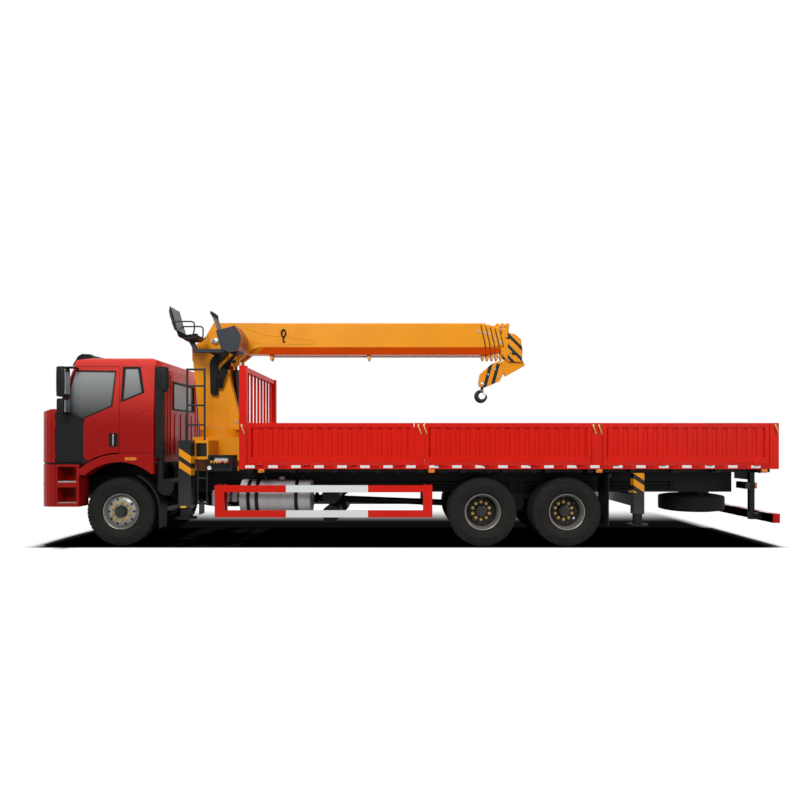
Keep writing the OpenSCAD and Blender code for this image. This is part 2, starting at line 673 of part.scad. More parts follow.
// Rear outrigger: a fixed beam under the rails with a jack tube on each end
rear_jack_w = 170;
rear_foot_z = 330;
rear_tube_z = [rear_foot_z + 190, sub_top - gap];
rear_x = axle_2 + 1150;
rear_y = bed_y - 20 - rear_jack_w / 2;
module rear_outrigger() color(black) {
    half = rear_jack_w / 2;
    both_sides() difference() {
        block([rear_x - half, rear_x + half], [-rear_y - half, -rear_y + half], rear_tube_z);
        block([rear_x - half + tube_wall, rear_x + half - tube_wall],
            [-rear_y - half + tube_wall, -rear_y + half - tube_wall], rear_tube_z - [1, tube_wall]);
    }
    block([rear_x - half, rear_x + half], [-rear_y + half - 1, rear_y - half + 1], [rail_z - 180, rail_z]);
}
module rear_jack() jack(rear_x, -rear_y, rear_jack_w, rear_foot_z, rear_tube_z[1] - tube_wall - fit);
module rear_jack_left() color(black) rear_jack();
module rear_jack_right() color(black) mirror([0, 1, 0]) rear_jack();

// Ladder up to the operator's seat, the step hoop below it and the ground control station
rung_r = 17;
ladder_x = [slew_x - 330, slew_x - 45];
ladder_y = -950;
ladder_z = [box_z[1], 2880];
rungs = 3;
station_x = [slew_x + 60, slew_x + 450];
station_z = [1200, 1460];
lever_n = 7;
module ladder_and_controls() color(black) {
    for (x = ladder_x) zrod(rung_r, x, ladder_y, ladder_z);
    xrod(rung_r, ladder_x + [-rung_r, rung_r], ladder_y, ladder_z[1] - rung_r);
    step = (ladder_z[1] - ladder_z[0]) / (rungs + 0.7);
    for (i = [1:rungs]) xrod(rung_r - 2, ladder_x, ladder_y, ladder_z[0] + step * (i - 0.2));
    hoop = [slew_x - 140, slew_x + 10];
    for (x = hoop) zrod(14, x, -box_y + 30, [660, box_z[0]]);
    for (z = [674, 1080]) xrod(14, hoop + [-14, 14], -box_y + 30, z);
    difference() {
        block(station_x, [-1120, -790], station_z);
        block([station_x[0] + 40, station_x[1] - 40], [-1121, -1080],
            [station_z[0] + 120, station_z[1] - 30]);
    }
    block(span(station_x[0], [100, 200]), [-791, -base_y], span(station_z[0], [60, 160]));
    for (i = [0:lever_n - 1]) {
        x = station_x[0] + 60 + (station_x[1] - station_x[0] - 120) * i / (lever_n - 1);
        yrod(9, x, [-1145, -1115], station_z[0] + 80);
        zrod(9, x, -1140, [station_z[0] + 75, station_z[0] + 150]);
    }
}

// Slewing column: leaning box with two cheeks that hold the boom, and a slot for the luff cylinder
column_y = 270;
cheek_gap = boom_w / 2 + 12;
pivot = [slew_x - luff_ahead, column_z + luff_up];
pivot_r = 60;
root_r = 330;
lug = pivot + [300, -350];
foot_pin = [slew_x + 310, column_z + 200];
pin_r = 40;
cylinder_r = 85;
cylinder_slot = cylinder_r + 35;
module crane_column() color(yellow) {
    outline = concat([[-330, 60], [380, 60], [380, 190], [130, luff_up - 410]],
        arc([-luff_ahead, luff_up], 180, [0, 135]), [[-470, luff_up - 130], [-440, luff_up - 430]]);
    difference() {
        union() {
            zrod(ring_r, slew_x, 0, [column_z + 0.5, column_z + 90]);
            side_prism([-column_y, column_y]) polygon(at(slew_x, column_z, outline));
            block([slew_x - 510, slew_x - 420], [-120, 120], [pivot[1] - 330, pivot[1] - 140]);
        }
        yrod(root_r + 15, pivot[0], [-cheek_gap, cheek_gap], pivot[1]);
        block([pivot[0] + 40, slew_x + 900], [-cheek_gap, cheek_gap], [lug[1] - 130, pivot[1] + 400]);
        block([foot_pin[0] - cylinder_r - 110, slew_x + 900], [-cylinder_slot, cylinder_slot],
            [foot_pin[1] - 105, lug[1]]);
    }
    yrod(pivot_r, pivot[0], [-column_y - 25, column_y + 25], pivot[1]);
    yrod(pin_r, foot_pin[0], [-cylinder_slot - 60, cylinder_slot + 60], foot_pin[1]);
}

// Operator's seat, and the frame, console and hose guard beside the column
seat_y = -700;
seat_w = 460;
seat_at = [slew_x - 370, column_z + 1565];
module operator_seat() color(black) {
    shell = [[200, 25], [200, 80], [165, 95], [0, 70], [-70, 105], [-200, 505], [-245, 530], [-285, 505],
        [-165, 85], [-115, 12], [0, 0]];
    side_prism([seat_y - seat_w / 2, seat_y + seat_w / 2]) polygon(at(seat_at[0], seat_at[1], shell));
    for (side = [-1, 1]) {
        y = seat_y + side * (seat_w / 2 + 10);
        inner = [y - 14, y + 14] - [side * 10, side * 10];
        xrod(14, span(seat_at[0], [-160, 164]), y, seat_at[1] + 255);
        zrod(14, seat_at[0] + 150, y, span(seat_at[1], [35, 255]));
        yrod(14, seat_at[0] + 150, inner, seat_at[1] + 40);
        block(span(seat_at[0], [-205, -155]), inner, span(seat_at[1], [235, 275]));
    }
}

console_y = [-930, -480];
module operator_station() color(black) {
    arm_z = span(seat_at[1], [-225, -165]);
    block([seat_at[0] + 70, slew_x + 260], [seat_y - 30, seat_y + 30], arm_z);
    block(span(slew_x, [-60, 20]), [seat_y, -column_y], arm_z);
    side_prism([seat_y - 30, seat_y + 30]) polygon(at(seat_at[0], seat_at[1],
        [[-30, -fit], [60, -fit], [150, -200], [80, -200]]));
    side_prism(console_y) polygon(at(slew_x, column_z,
        [[220, 1364], [370, 1312], [510, 1347], [560, 1552], [440, 1757], [132, 1672]]));
    for (i = [0:4])
        translate([slew_x + 165, console_y[0] + 70 + i * 78, column_z + 1640]) rotate([0, -20, 0]) {
            cylinder(r = 10, h = 360);
            translate([0, 0, 360]) sphere(r = 22);
        }
    side_prism([-column_y - 75, -column_y]) polygon(at(slew_x, column_z, concat(
        [[190, 1380], [100, 1400]], arc([60, 1180], 200, [110, 190]), [[-125, 700], [-110, 660], [-10, 660],
        [5, 700], [-20, 800], [0, 1130]], arc([60, 1180], 70, [180, 110], 3))));
}

// Boom sections, each a folded tube: straight sides over a narrowed bottom
collar = 75;
tuck = 900;
boom_z0 = pivot[1] - 213;
function tube_outline(w, h) = [[-w / 2 + 20, h], [-w / 2, h - 20], [-w / 2, 0.22 * h], [-0.28 * w, 0],
    [0.28 * w, 0], [w / 2, 0.22 * h], [w / 2, h - 20], [w / 2 - 20, h]];
module tube_shape(k, inset) {
    s = (k - 1) * boom_step + inset;
    translate([0, boom_z0 + s]) polygon(tube_outline(boom_w - 2 * s, boom_h - 2 * s));
}
module tube(k, x) difference() {
    front_prism(x) tube_shape(k, 0);
    front_prism(x + [-1, 1]) tube_shape(k, boom_t);
}
// The slanted end of section k
slant = 110;
function section_end(k) = pivot[0] + boom_l + (k - 1) * (collar + gap);
module slanted(x, t) side_prism([-boom_w, boom_w]) polygon([[x, boom_z0 - 200], [x + t, boom_z0 - 200],
    [x + t, boom_z0 + 0.3 * boom_h], [x + t - slant, boom_z0 + boom_h + 100],
    [x - slant, boom_z0 + boom_h + 100],
    [x, boom_z0 + 0.3 * boom_h]]);

module boom_base() color(yellow) {
    root = concat(
        [[-250, -30], [-240, 20], [-60, boom_h - 213], [900, boom_h - 213], [1250, boom_h - 260]],
        [[1250, -80], [760, -93], [620, -135], [470, -255]], arc([300, -350], 90, [20, -150], 6),
        [[-30, -255], [-190, -170]]);
    difference() {
        union() {
            intersection() {
                tube(1, [pivot[0] + 250, section_end(1)]);
                translate([-boom_l, 0, 0]) slanted(section_end(1), boom_l);
            }
            for (side = [-1, 1]) side_prism(side > 0 ? [130, boom_w / 2 + 2] : [-boom_w / 2 - 2, -130])
                intersection() {
                    polygon(at(pivot[0], pivot[1], root));
                    translate(pivot - [400, 600]) square([1210, 1200]);
                }
            both_sides() side_prism([-boom_w / 2 - 2, -boom_w / 2 + 1])
                polygon(at(pivot[0], pivot[1], root));
            yrod(110, pivot[0], [-boom_w / 2, boom_w / 2], pivot[1]);
            block(span(pivot[0], [250, 280]), [-boom_w / 2 + 20, boom_w / 2 - 20],
                [boom_z0 + 20, boom_z0 + boom_h - 5]);
            for (side = [-1, 1]) yrod(pin_r + 12, lug[0], side > 0 ? [190, 225] : [-225, -190], lug[1]);
            block(span(section_end(1), [-60, -10]), [-60, 60], [boom_z0 - 70, boom_z0 + 1]);
            block(span(pivot[0], [900, 940]), [-60, 60], [boom_z0 - 75, boom_z0 + 1]);
        }
        yrod(pivot_r + run, pivot[0], [-boom_w, boom_w], pivot[1]);
    }
}

// Section k from its tucked rear end to its collar, with slide pads at the rear
pad_l = 160;
module section(k) {
    s = (k - 1) * boom_step;
    start = pivot[0] + tuck + (k - 1) * 60;
    pad = boom_step - boom_t - fit;
    intersection() {
        union() {
            tube(k, [start, section_end(k)]);
            difference() {
                front_prism([section_end(k - 1) - slant, section_end(k)]) tube_shape(k - 1, 0);
                front_prism([section_end(k - 1) - slant - 1, section_end(k) + 1]) tube_shape(k, boom_t);
                translate([gap - boom_l, 0, 0]) slanted(section_end(k - 1), boom_l);
            }
        }
        translate([-boom_l, 0, 0]) slanted(section_end(k), boom_l);
    }
    w = boom_w - 2 * s;
    block([start, start + pad_l], [-0.2 * w, 0.2 * w], [boom_z0 + s - pad, boom_z0 + s + 1]);
    block([start, start + pad_l], [-0.3 * w, 0.3 * w],
        [boom_z0 + boom_h - s - 1, boom_z0 + boom_h - s + pad]);
    block(span(section_end(k), [-55, -15]), [-50, 50], [boom_z0 - 70, boom_z0 + s + 1]);
}
module boom_section_2() color(yellow) section(2);
module boom_section_3() color(yellow) section(3);
module boom_section_4() color(yellow) section(4);

// Last section with the boom head, its sheaves, and the hook block drawn up under it
head_y = 125;
sheave_r = 120;
tip = pivot + [boom_l, 0];
block_pin = tip + [-44, -730];
hook_pin_r = 20;
module boom_section_5() color(yellow) {
    head = [[352, 182], [523, 145], [630, 56], [658, -158], [647, -346], [407, -337], [280, -200],
        [280, 150]];
    bracket = [[290, -337], [410, -260], [630, -260], [693, -365], [710, -400], [377, -588], [324, -516]];
    block_side = [[119, -374], [263, -320], [342, -516], [263, -678], [-14, -790], [-94, -770],
        [-110, -700],
        [-86, -553]];
    section(5);
    front_prism([section_end(5) - 20, tip[0] + 390]) head_neck();
    for (side = [-1, 1]) side_prism(side > 0 ? [head_y - 25, head_y] : [-head_y, -head_y + 25])
        polygon(at(tip[0], tip[1], head));
    yrod(sheave_r, tip[0] + 500, [-head_y + 1, head_y - 1], tip[1] - 190);
    yrod(70, tip[0] + 410, [-head_y + 1, head_y - 1], tip[1] + 80);
    for (x = [225, 312, 399]) {
        yrod(40, tip[0] + x, [-70, 70], tip[1] + 305);
        block(span(tip[0], [x - 25, x + 25]), [-60, 60], span(tip[1], [150, 305]));
    }
    side_prism([-80, 80]) polygon(at(tip[0], tip[1], bracket));
    // The block is open below, where the hook swings
    difference() {
        side_prism([-75, 75]) polygon(at(tip[0], tip[1], block_side));
        yrod(75, block_pin[0], [-32, 32], block_pin[1]);
        side_prism([-32, 32]) polygon(concat([block_pin], arc(block_pin, 240, [-178, -2])));
    }
    yrod(hook_pin_r, block_pin[0], [-80, 80], block_pin[1]);
}
module head_neck() translate([0, boom_z0 + 4 * boom_step + 4])
    polygon(tube_outline(boom_w - 8 * boom_step - 56, boom_h - 8 * boom_step - 8));

// Hook hung from the block
hook_ring = 85;
hook_r = 27;
module hook() color(steel) difference() {
    union() {
        yrod(45, block_pin[0], [-28, 28], block_pin[1]);
        zrod(24, block_pin[0], 0, [block_pin[1] - 130, block_pin[1] - 25]);
        translate([block_pin[0], 0, block_pin[1] - 120 - hook_ring]) rotate([90, 0, 0]) rotate([0, 0, 90])
            rotate_extrude(angle = 285) translate([hook_ring, 0]) circle(r = hook_r);
    }
    yrod(hook_pin_r + run, block_pin[0], [-90, 90], block_pin[1]);
}

// Luff cylinder: barrel hinged on the column, rod up to the boom's lugs
luff_run = lug - foot_pin;
luff_len = norm(luff_run);
luff_rod_r = 52;
module along_luff() translate([foot_pin[0], 0, foot_pin[1]]) rotate([0, atan2(luff_run[0], luff_run[1]), 0])
    children();
module luff_barrel() color(yellow) along_luff() difference() {
    union() {
        rotate([90, 0, 0]) cylinder(h = 2 * cylinder_slot - 20, r = 70, center = true);
        translate([0, 0, 40]) cylinder(h = luff_len - 190, r = cylinder_r);
        translate([0, 0, luff_len - 230]) cylinder(h = 80, r = cylinder_r + 9);
    }
    rotate([90, 0, 0]) cylinder(h = 3 * cylinder_slot, r = pin_r + run, center = true);
    translate([0, 0, 110]) cylinder(h = luff_len, r = luff_rod_r + fit);
}
module luff_rod() color(steel) along_luff() {
    translate([0, 0, 120]) cylinder(h = luff_len - 150, r = luff_rod_r);
    translate([0, 0, luff_len]) rotate([90, 0, 0]) cylinder(h = 190, r = 68, center = true);
}

// Cab: a shell cut from its side, front and plan outlines, split into panels
cab_back = cab_x1 + 80;
corner_y = cab_y - 225;
roof_z = cab_top - 145;
belt_z = cab_z + 770;
door_x = [front_x + 355, axle_f + 5];
rear_x0 = cab_x1 - 50;
pillar_run = 325;
// The windscreen leans back from the shoulder over the grille, seen from the side
screen = [[290, 860], [567, 1565]];
screen_bow = 40;
screen_r = 120;
function cab_side(t) = concat(
    at(cab_x0, cab_z, [[10 + t, -t], [t, 700], [25 + t, 800 - 0.8 * t], screen[0] + t * [0.74, -0.86],
        screen[1] + t * [1, -0.25], screen[1] + [90, 85] + t * [0.8, -0.9]]),
    [[cab_x0 + screen[1][0] + 290, cab_top - 5 - t], [cab_back - 160, cab_top - t],
        [cab_back - 30 - t, cab_top - 45 - t], [cab_back - t, cab_top - 160], [cab_back - t, cab_z - t]]);
function cab_half(t) = concat([[cab_y - t, cab_z - t], [cab_y - t, cab_z + 810]],
    arc([cab_y - 165, cab_top - 130], 130 - t, [0, 90]));
function cab_front_outline(t) = concat(cab_half(t),
    [for (i = [8:-1:0]) [-cab_half(t)[i][0], cab_half(t)[i][1]]]);
function cab_plan(t) = concat(plan(t, cab_x1), [[cab_back - t, corner_y], [cab_back - t, -corner_y]]);
// Below the shoulder the front is upright, above it the rounded corners lean with the windscreen
module screen_room(t) {
    lean = atan2(screen[1][0] - screen[0][0], screen[1][1] - screen[0][1]);
    block([cab_x0 - 1, cab_back + 1], [-cab_y, cab_y], [cab_z - t, cab_z + screen[0][1] - 0.86 * t]);
    translate([cab_x0 + screen[0][0], 0, cab_z + screen[0][1]]) rotate([0, lean, 0])
        plan_prism([-cab_h, cab_h]) polygon(bowed(0, t, 2 * cab_l, screen_bow, screen_r));
}
module cab_solid(t) intersection() {
    side_prism([-cab_y, cab_y]) polygon(cab_side(t));
    front_prism([cab_x0 - 1, cab_back + 1]) polygon(cab_front_outline(t));
    plan_prism([cab_z - t, cab_top + 1]) polygon(cab_plan(t));
    screen_room(t);
}
module cab_shell(out, in) difference() {
    cab_solid(out);
    cab_solid(in);
}
// Window openings
module windscreen_hole() front_prism([cab_x0 - 10, cab_x0 + 700])
    polygon([[-1050, cab_z + 895], [1050, cab_z + 895], [1010, cab_z + 1520], [-1010, cab_z + 1520]]);
module rear_window_hole() front_prism([cab_back - 150, cab_back + 10])
    polygon([[-550, cab_z + 890], [550, cab_z + 890], [550, cab_z + 1350], [-550, cab_z + 1350]]);
module quarter_hole() side_prism([-cab_y - 10, -cab_y + 150]) polygon(at(door_x[1], cab_z,
    [for (p = [[0.13, 1010], [0.7, 1130], [0.59, 1510], [0.19, 1510]])
        [p[0] * (rear_x0 - door_x[1]), p[1]]]));
module door_window_hole() side_prism([-cab_y - 10, -cab_y + 150]) polygon(at(axle_f, cab_z,
    [[-855, 842], [-585, 713], [-122, 917], [-69, 1456], [-704, 1465]]));
// The front edge of the door: up to the belt, then along the sloping pillar
function pillar(d) = [[door_x[0] + d, cab_z - 100], [door_x[0] + d, belt_z],
    [door_x[0] + pillar_run + d, roof_z]];
pillar_gap = 11;

// Door hinges: knuckles on the front edge of each door, between ears and on a pin of the front panel
hinge_pin_r = 4;
knuckle_r = 9;
door_hinge_z = [cab_z + 130, cab_z + 620];
module door_line(r, half) for (z = door_hinge_z) zrod(r, door_x[0], -cab_y, [z - half, z + half]);
module door_leaf(x, half) for (z = door_hinge_z)
    block(span(door_x[0], x), [-cab_y, -cab_y + 8], [z - half, z + half]);

module cab_front() color(red) {
    difference() {
        intersection() {
            cab_shell(0, cab_t);
            side_prism([-cab_y - 1, cab_y + 1]) polygon(concat(
                [[cab_x0 - 20, roof_z], [cab_x0 - 20, cab_z]],
                [pillar(-pillar_gap)[0] + [0, 100]], [pillar(-pillar_gap)[1], pillar(-pillar_gap)[2]]));
        }
        windscreen_hole();
    }
    both_sides() {
        difference() {
            union() {
                door_line(knuckle_r, 45);
                door_leaf([-pillar_gap - 1, 0], 45);
            }
            for (z = door_hinge_z)
                block(span(door_x[0], [-pillar_gap, 20]), [-cab_y - 20, -cab_y + 20], [z - 16, z + 16]);
        }
        door_line(hinge_pin_r, 30);
    }
}
flare_z = cab_z + 156;
module cab_sides() color(red) difference() {
    intersection() {
        cab_shell(0, cab_t);
        block([door_x[1] + gap, rear_x0], [-cab_y - 1, cab_y + 1], [flare_z, roof_z]);
    }
    both_sides() quarter_hole();
}
module cab_rear() color(red) difference() {
    intersection() {
        cab_shell(0, cab_t);
        block([rear_x0, cab_back + 1], [-cab_y - 1, cab_y + 1], [cab_z, roof_z]);
    }
    rear_window_hole();
    both_sides() block([rear_x0 - 1, cab_back], [-cab_y - 1, -cab_y + cab_t + 1], [cab_z - 1, flare_z]);
}
module cab_roof() color(red) intersection() {
    cab_shell(0, cab_t);
    block([cab_x0, cab_back + 1], [-cab_y, cab_y], [roof_z, cab_top + 1]);
}
floor_t = 60;
module cab_floor() color(black) intersection() {
    cab_solid(cab_t);
    block([cab_x0, cab_back], [-cab_y + cab_t + 8, cab_y - cab_t - 8], [cab_z, cab_z + floor_t]);
}
glass = [14, 22];
module cab_glass() color(black) intersection() {
    cab_shell(glass[0], glass[1]);
    union() {
        windscreen_hole();
        rear_window_hole();
        both_sides() quarter_hole();
    }
}

// Two seats, the dash and the steering wheel
cab_seat_y = 640;
wheel_at = [axle_f - 700, -cab_seat_y, cab_z + 800];
module cab_interior() color(black) {
    z = cab_z + floor_t;
    both_sides() side_prism([-cab_seat_y - 250, -cab_seat_y + 250]) polygon(at(axle_f, z, [
        [-290, 0], [-290, 330],
        [-330, 350], [-340, 440], [150, 400], [250, 1120], [340, 1120], [300, 360], [240, 330], [240, 0]]));
    intersection() {
        cab_solid(cab_t);
        side_prism([-cab_y + 95, cab_y - 95]) polygon(at(cab_x0, cab_z,
            [[0, floor_t], [160, floor_t], [200, 500], [400, 560], [430, 700], [330, 770], [0, 800]]));
    }
    translate(wheel_at) rotate([0, 50, 0]) {
        rotate_extrude() translate([215, 0]) circle(r = 17);
        translate([0, 0, -12]) cylinder(r = 60, h = 40);
        translate([-210, -20, -10]) cube([420, 40, 20]);
        translate([0, 0, -420]) cylinder(r = 35, h = 420);
    }
}

// Sun visor over the windscreen, and the engine's air intake up the rear corner of the cab
visor_y = 980;
intake_x = [cab_x1 + 30, cab_x1 + 210];
intake_y = [-cab_y - 25, -cab_y + 80];
intake_z = cab_z + 80;
module visor_and_intake() color(black) {
    difference() {
        side_prism([-visor_y, visor_y]) polygon(at(cab_x0 + screen[1][0], cab_top,
            [[-55, -110], [35, 40], [100, 78], [230, 70], [290, 0], [290, -20], [90, -60], [0, -150]]));
        cab_solid(0);
    }
    block(intake_x, intake_y, [cab_z + 1160, cab_z + 1530]);
    block([intake_x[0] + 10, intake_x[1] - 60], intake_y + [0, -10], [intake_z, cab_z + 1165]);
    difference() {
        for (z = [cab_z + 300, cab_z + 1250])
            block([cab_x1 - 20, cab_x1 + 110], [intake_y[1] - 20, intake_y[1] + 60], [z, z + 60]);
        cab_solid(0);
    }
}

// Doors with their mirrors, hinged on their front edges
mirror_x = [door_x[0] + 130, door_x[0] + 245];
mirror_y = [-cab_y - 235, -cab_y - 45];
mirror_z = [cab_z + 1050, cab_z + 1510];
low_mirror_z = [cab_z + 780, cab_z + 1010];
arm_y = -cab_y - 105;
arm_r = 14;
module door() {
    difference() {
        intersection() {
            cab_shell(0, cab_t);
            side_prism([-cab_y - 1, -cab_y + 200]) polygon(concat(
                [[door_x[1], roof_z - gap], [door_x[1], cab_z + gap], [door_x[0], cab_z + gap]],
                [pillar(0)[1], [pillar(0)[2][0] - gap * pillar_run / (roof_z - belt_z), roof_z - gap]]));
        }
        yrod(arch_r + arch_t + 20, axle_f, [-cab_y - 1, -cab_y + 200], tyre_r);
        door_window_hole();
        door_line(knuckle_r + 4, 46);
    }
    difference() {
        union() {
            door_line(knuckle_r, 15);
            door_leaf([0, knuckle_r + 6], 15);
        }
        door_line(hinge_pin_r + run, 20);
    }
    block(mirror_x, mirror_y, mirror_z);
    block(mirror_x + [5, -10], mirror_y + [0, -20], low_mirror_z);
    zrod(arm_r, mirror_x[0] + 60, arm_y, [low_mirror_z[0], mirror_z[0] + 1]);
    yrod(arm_r, mirror_x[0] + 60, [arm_y, -cab_y + 20], low_mirror_z[0] + 10);
    yrod(arm_r, door_x[0] + pillar_run + 20, [arm_y - arm_r, -cab_y + 60], mirror_z[1] - 5);
    xrod(arm_r, [mirror_x[0] + 60, door_x[0] + pillar_run + 20], arm_y, mirror_z[1] - 5);
}
module door_left() color(red) door();
module door_right() color(red) mirror([0, 1, 0]) door();
module door_pane() intersection() {
    cab_shell(glass[0], glass[1]);
    door_window_hole();
}
module door_glass_left() color(black) door_pane();
module door_glass_right() color(black) mirror([0, 1, 0]) door_pane();

chassis_frame();
axles_and_springs();
engine();
front_bumper();
step_fenders();
lamps();
mudguards();
fuel_tank();
air_tanks();
guards();
bed_floor();
headboard();
spare_wheel();
crane_base();
rear_outrigger();
ladder_and_controls();
cab_floor();
cab_front();
cab_sides();
cab_rear();
cab_roof();
cab_glass();
cab_interior();
visor_and_intake();
door_left();
door_glass_left();
door_right();
door_glass_right();
knuckle_left();
knuckle_right();
front_wheel_left();
front_wheel_right();
rear_wheels(axle_1);  // rear_wheels_1_left
mirror([0, 1, 0]) rear_wheels(axle_1);  // rear_wheels_1_right
rear_wheels(axle_2);  // rear_wheels_2_left
mirror([0, 1, 0]) rear_wheels(axle_2);  // rear_wheels_2_right
crane_column();
operator_seat();
operator_station();
boom_base();
boom_section_2();
boom_section_3();
boom_section_4();
boom_section_5();
hook();
luff_barrel();
luff_rod();
front_beam_left();
front_beam_right();
front_jack_left();
front_jack_right();
rear_jack_left();
rear_jack_right();
gate_left(0);  // gate_left_1
gate_left(1);  // gate_left_2
gate_left(2);  // gate_left_3
gate_right(0);  // gate_right_1
gate_right(1);  // gate_right_2
gate_right(2);  // gate_right_3
tailgate();
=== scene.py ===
import math
import bpy
import bmesh
from mathutils import Matrix, Vector


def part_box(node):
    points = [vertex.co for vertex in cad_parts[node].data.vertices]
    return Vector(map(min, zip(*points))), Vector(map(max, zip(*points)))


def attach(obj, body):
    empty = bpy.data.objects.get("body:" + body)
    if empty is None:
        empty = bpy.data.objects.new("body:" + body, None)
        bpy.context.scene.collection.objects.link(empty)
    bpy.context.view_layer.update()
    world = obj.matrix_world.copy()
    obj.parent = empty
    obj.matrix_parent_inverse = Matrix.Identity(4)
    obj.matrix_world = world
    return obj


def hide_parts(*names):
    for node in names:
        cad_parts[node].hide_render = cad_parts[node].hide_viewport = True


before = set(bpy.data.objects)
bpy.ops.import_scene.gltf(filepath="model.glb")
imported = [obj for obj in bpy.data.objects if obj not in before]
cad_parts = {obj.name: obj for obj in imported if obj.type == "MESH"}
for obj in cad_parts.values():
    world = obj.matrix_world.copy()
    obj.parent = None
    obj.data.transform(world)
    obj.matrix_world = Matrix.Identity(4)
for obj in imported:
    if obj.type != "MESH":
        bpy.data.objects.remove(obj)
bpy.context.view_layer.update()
scene = bpy.context.scene

# places of the vehicle in metres, forward is -X and the near side is -Y
lorry = {"front": -5.970, "axleFront": -4.610, "axleRear": (1.215, 2.565), "wheelZ": 0.550,
         "trackFront": 1.010, "trackRear": 0.930, "twinGap": 0.330, "bedX": (-2.677, 5.944), "bedY": 1.250,
         "cabY": 1.225, "cabBack": -3.970, "slewX": -3.270, "pivot": (-3.320, 3.430), "lug": (-3.020, 3.080),
         "cylinderFoot": (-2.960, 2.030)}


def toLinear(hexColour):
    parts = [int(hexColour[i:i + 2], 16) / 255 for i in (0, 2, 4)]
    return tuple(p / 12.92 if p <= 0.04045 else ((p + 0.055) / 1.055) ** 2.4 for p in parts) + (1.0,)


def addNode(tree, kind, sockets=None, links=None, **settings):
    node = tree.nodes.new(kind)
    for name, value in settings.items():
        setattr(node, name, value)
    for key, value in (sockets or {}).items():
        node.inputs[key].default_value = value
    for key, output in (links or {}).items():
        tree.links.new(output, node.inputs[key])
    return node


def startFinish(name):
    finish = bpy.data.materials.new(name)
    finish.use_nodes = True
    tree = finish.node_tree
    tree.nodes.clear()
    place = addNode(tree, "ShaderNodeTexCoord").outputs["Object"]
    return finish, tree, place


# MULTIPLY keeps what lies in all the masks, MAXIMUM what lies in any of them
def joinMasks(tree, masks, operation="MULTIPLY"):
    joined = masks[0]
    for mask in masks[1:]:
        joined = addNode(tree, "ShaderNodeMath", links={0: joined, 1: mask}, operation=operation).outputs[0]
    return joined


# 1 inside the box of ranges {"X": (low, high), ...} in metres, 0 outside
def insideMask(tree, place, ranges):
    axes = addNode(tree, "ShaderNodeSeparateXYZ", links={0: place}).outputs
    sides = []
    for axis, limits in ranges.items():
        for limit, test in zip(limits, ("GREATER_THAN", "LESS_THAN")):
            sides.append(addNode(tree, "ShaderNodeMath", {1: limit}, {0: axes[axis]},
                                 operation=test).outputs[0])
    return joinMasks(tree, sides)


# slanted stripes: 1 where alongX * x + alongZ * z lies in one of the ranges, in metres
def stripeMask(tree, place, alongX, alongZ, ranges):
    along = addNode(tree, "ShaderNodeVectorMath", {1: (alongX, 0.0, alongZ)}, {0: place},
                    operation="DOT_PRODUCT").outputs["Value"]
    bands = [addNode(tree, "ShaderNodeMath", {1: (low + high) / 2, 2: (high - low) / 2}, {0: along},
                     operation="COMPARE").outputs[0] for low, high in ranges]
    return joinMasks(tree, bands, "MAXIMUM")


def setColour(tree, socket, colour):  # a hex colour, a linear one or a node's output
    if isinstance(colour, str):
        colour = toLinear(colour)
    if isinstance(colour, tuple):
        socket.default_value = colour
    else:
        tree.links.new(colour, socket)


def mixColour(tree, mask, below, above):
    mix = addNode(tree, "ShaderNodeMix", links={0: mask}, data_type="RGBA")
    setColour(tree, mix.inputs[6], below)
    setColour(tree, mix.inputs[7], above)
    return mix.outputs[2]


# A coated, moulded or bare surface: cloudy tone, fine grain in the roughness and bump, road dust low down,
# and edges softened as a real fold or casting has them
def surfaceFinish(name, spec, colourFrom=None):
    finish, tree, place = startFinish(name)
    cloud = addNode(tree, "ShaderNodeTexNoise",
                    {"Scale": 1000 / spec["cloudMm"], "Detail": 4.0, "Roughness": 0.6},
                    {"Vector": place}).outputs["Fac"]
    grain = addNode(tree, "ShaderNodeTexNoise", {"Scale": 1000 / spec["grainMm"], "Detail": 3.0},
                    {"Vector": place}).outputs["Fac"]
    base = colourFrom(tree, place) if colourFrom else spec["colour"]
    shade = addNode(tree, "ShaderNodeMapRange", {1: 0.3, 2: 0.7, 3: 1 - spec["cloud"], 4: 1 + spec["cloud"]},
                    {0: cloud}).outputs[0]
    toned = addNode(tree, "ShaderNodeMix", {0: 1.0}, {7: shade}, data_type="RGBA", blend_type="MULTIPLY")
    setColour(tree, toned.inputs[6], base)
    colour = toned.outputs[2]
    if spec.get("dust", 0) > 0:  # dried spray, thickest near the road
        height = addNode(tree, "ShaderNodeSeparateXYZ", links={0: place}).outputs["Z"]
        low = addNode(tree, "ShaderNodeMapRange", {1: 0.1, 2: spec["dustTop"], 3: spec["dust"], 4: 0.0},
                      {0: height}).outputs[0]
        patch = addNode(tree, "ShaderNodeMath", links={0: low, 1: cloud}, operation="MULTIPLY").outputs[0]
        colour = mixColour(tree, patch, colour, "8a8073")
    rough = addNode(tree, "ShaderNodeMapRange",
                    {1: 0.3, 2: 0.7, 3: spec["rough"] * 0.85, 4: spec["rough"] * 1.2}, {0: grain}).outputs[0]
    edge = addNode(tree, "ShaderNodeBevel", {"Radius": spec["edgeMm"] / 1000}, samples=4).outputs[0]
    bump = addNode(tree, "ShaderNodeBump", {"Strength": spec["bump"], "Distance": spec["grainMm"] / 3000},
                   {"Height": grain, "Normal": edge}).outputs[0]
    shader = addNode(tree, "ShaderNodeBsdfPrincipled",
                     {"Metallic": spec.get("metal", 0.0), "IOR": spec.get("ior", 1.5),
                      "Coat Weight": spec.get("coat", 0.0), "Coat Roughness": 0.06,
                      "Specular IOR Level": spec.get("shine", 0.15)},
                     {"Base Color": colour, "Roughness": rough, "Normal": bump}).outputs[0]
    addNode(tree, "ShaderNodeOutputMaterial", links={0: shader})
    return finish


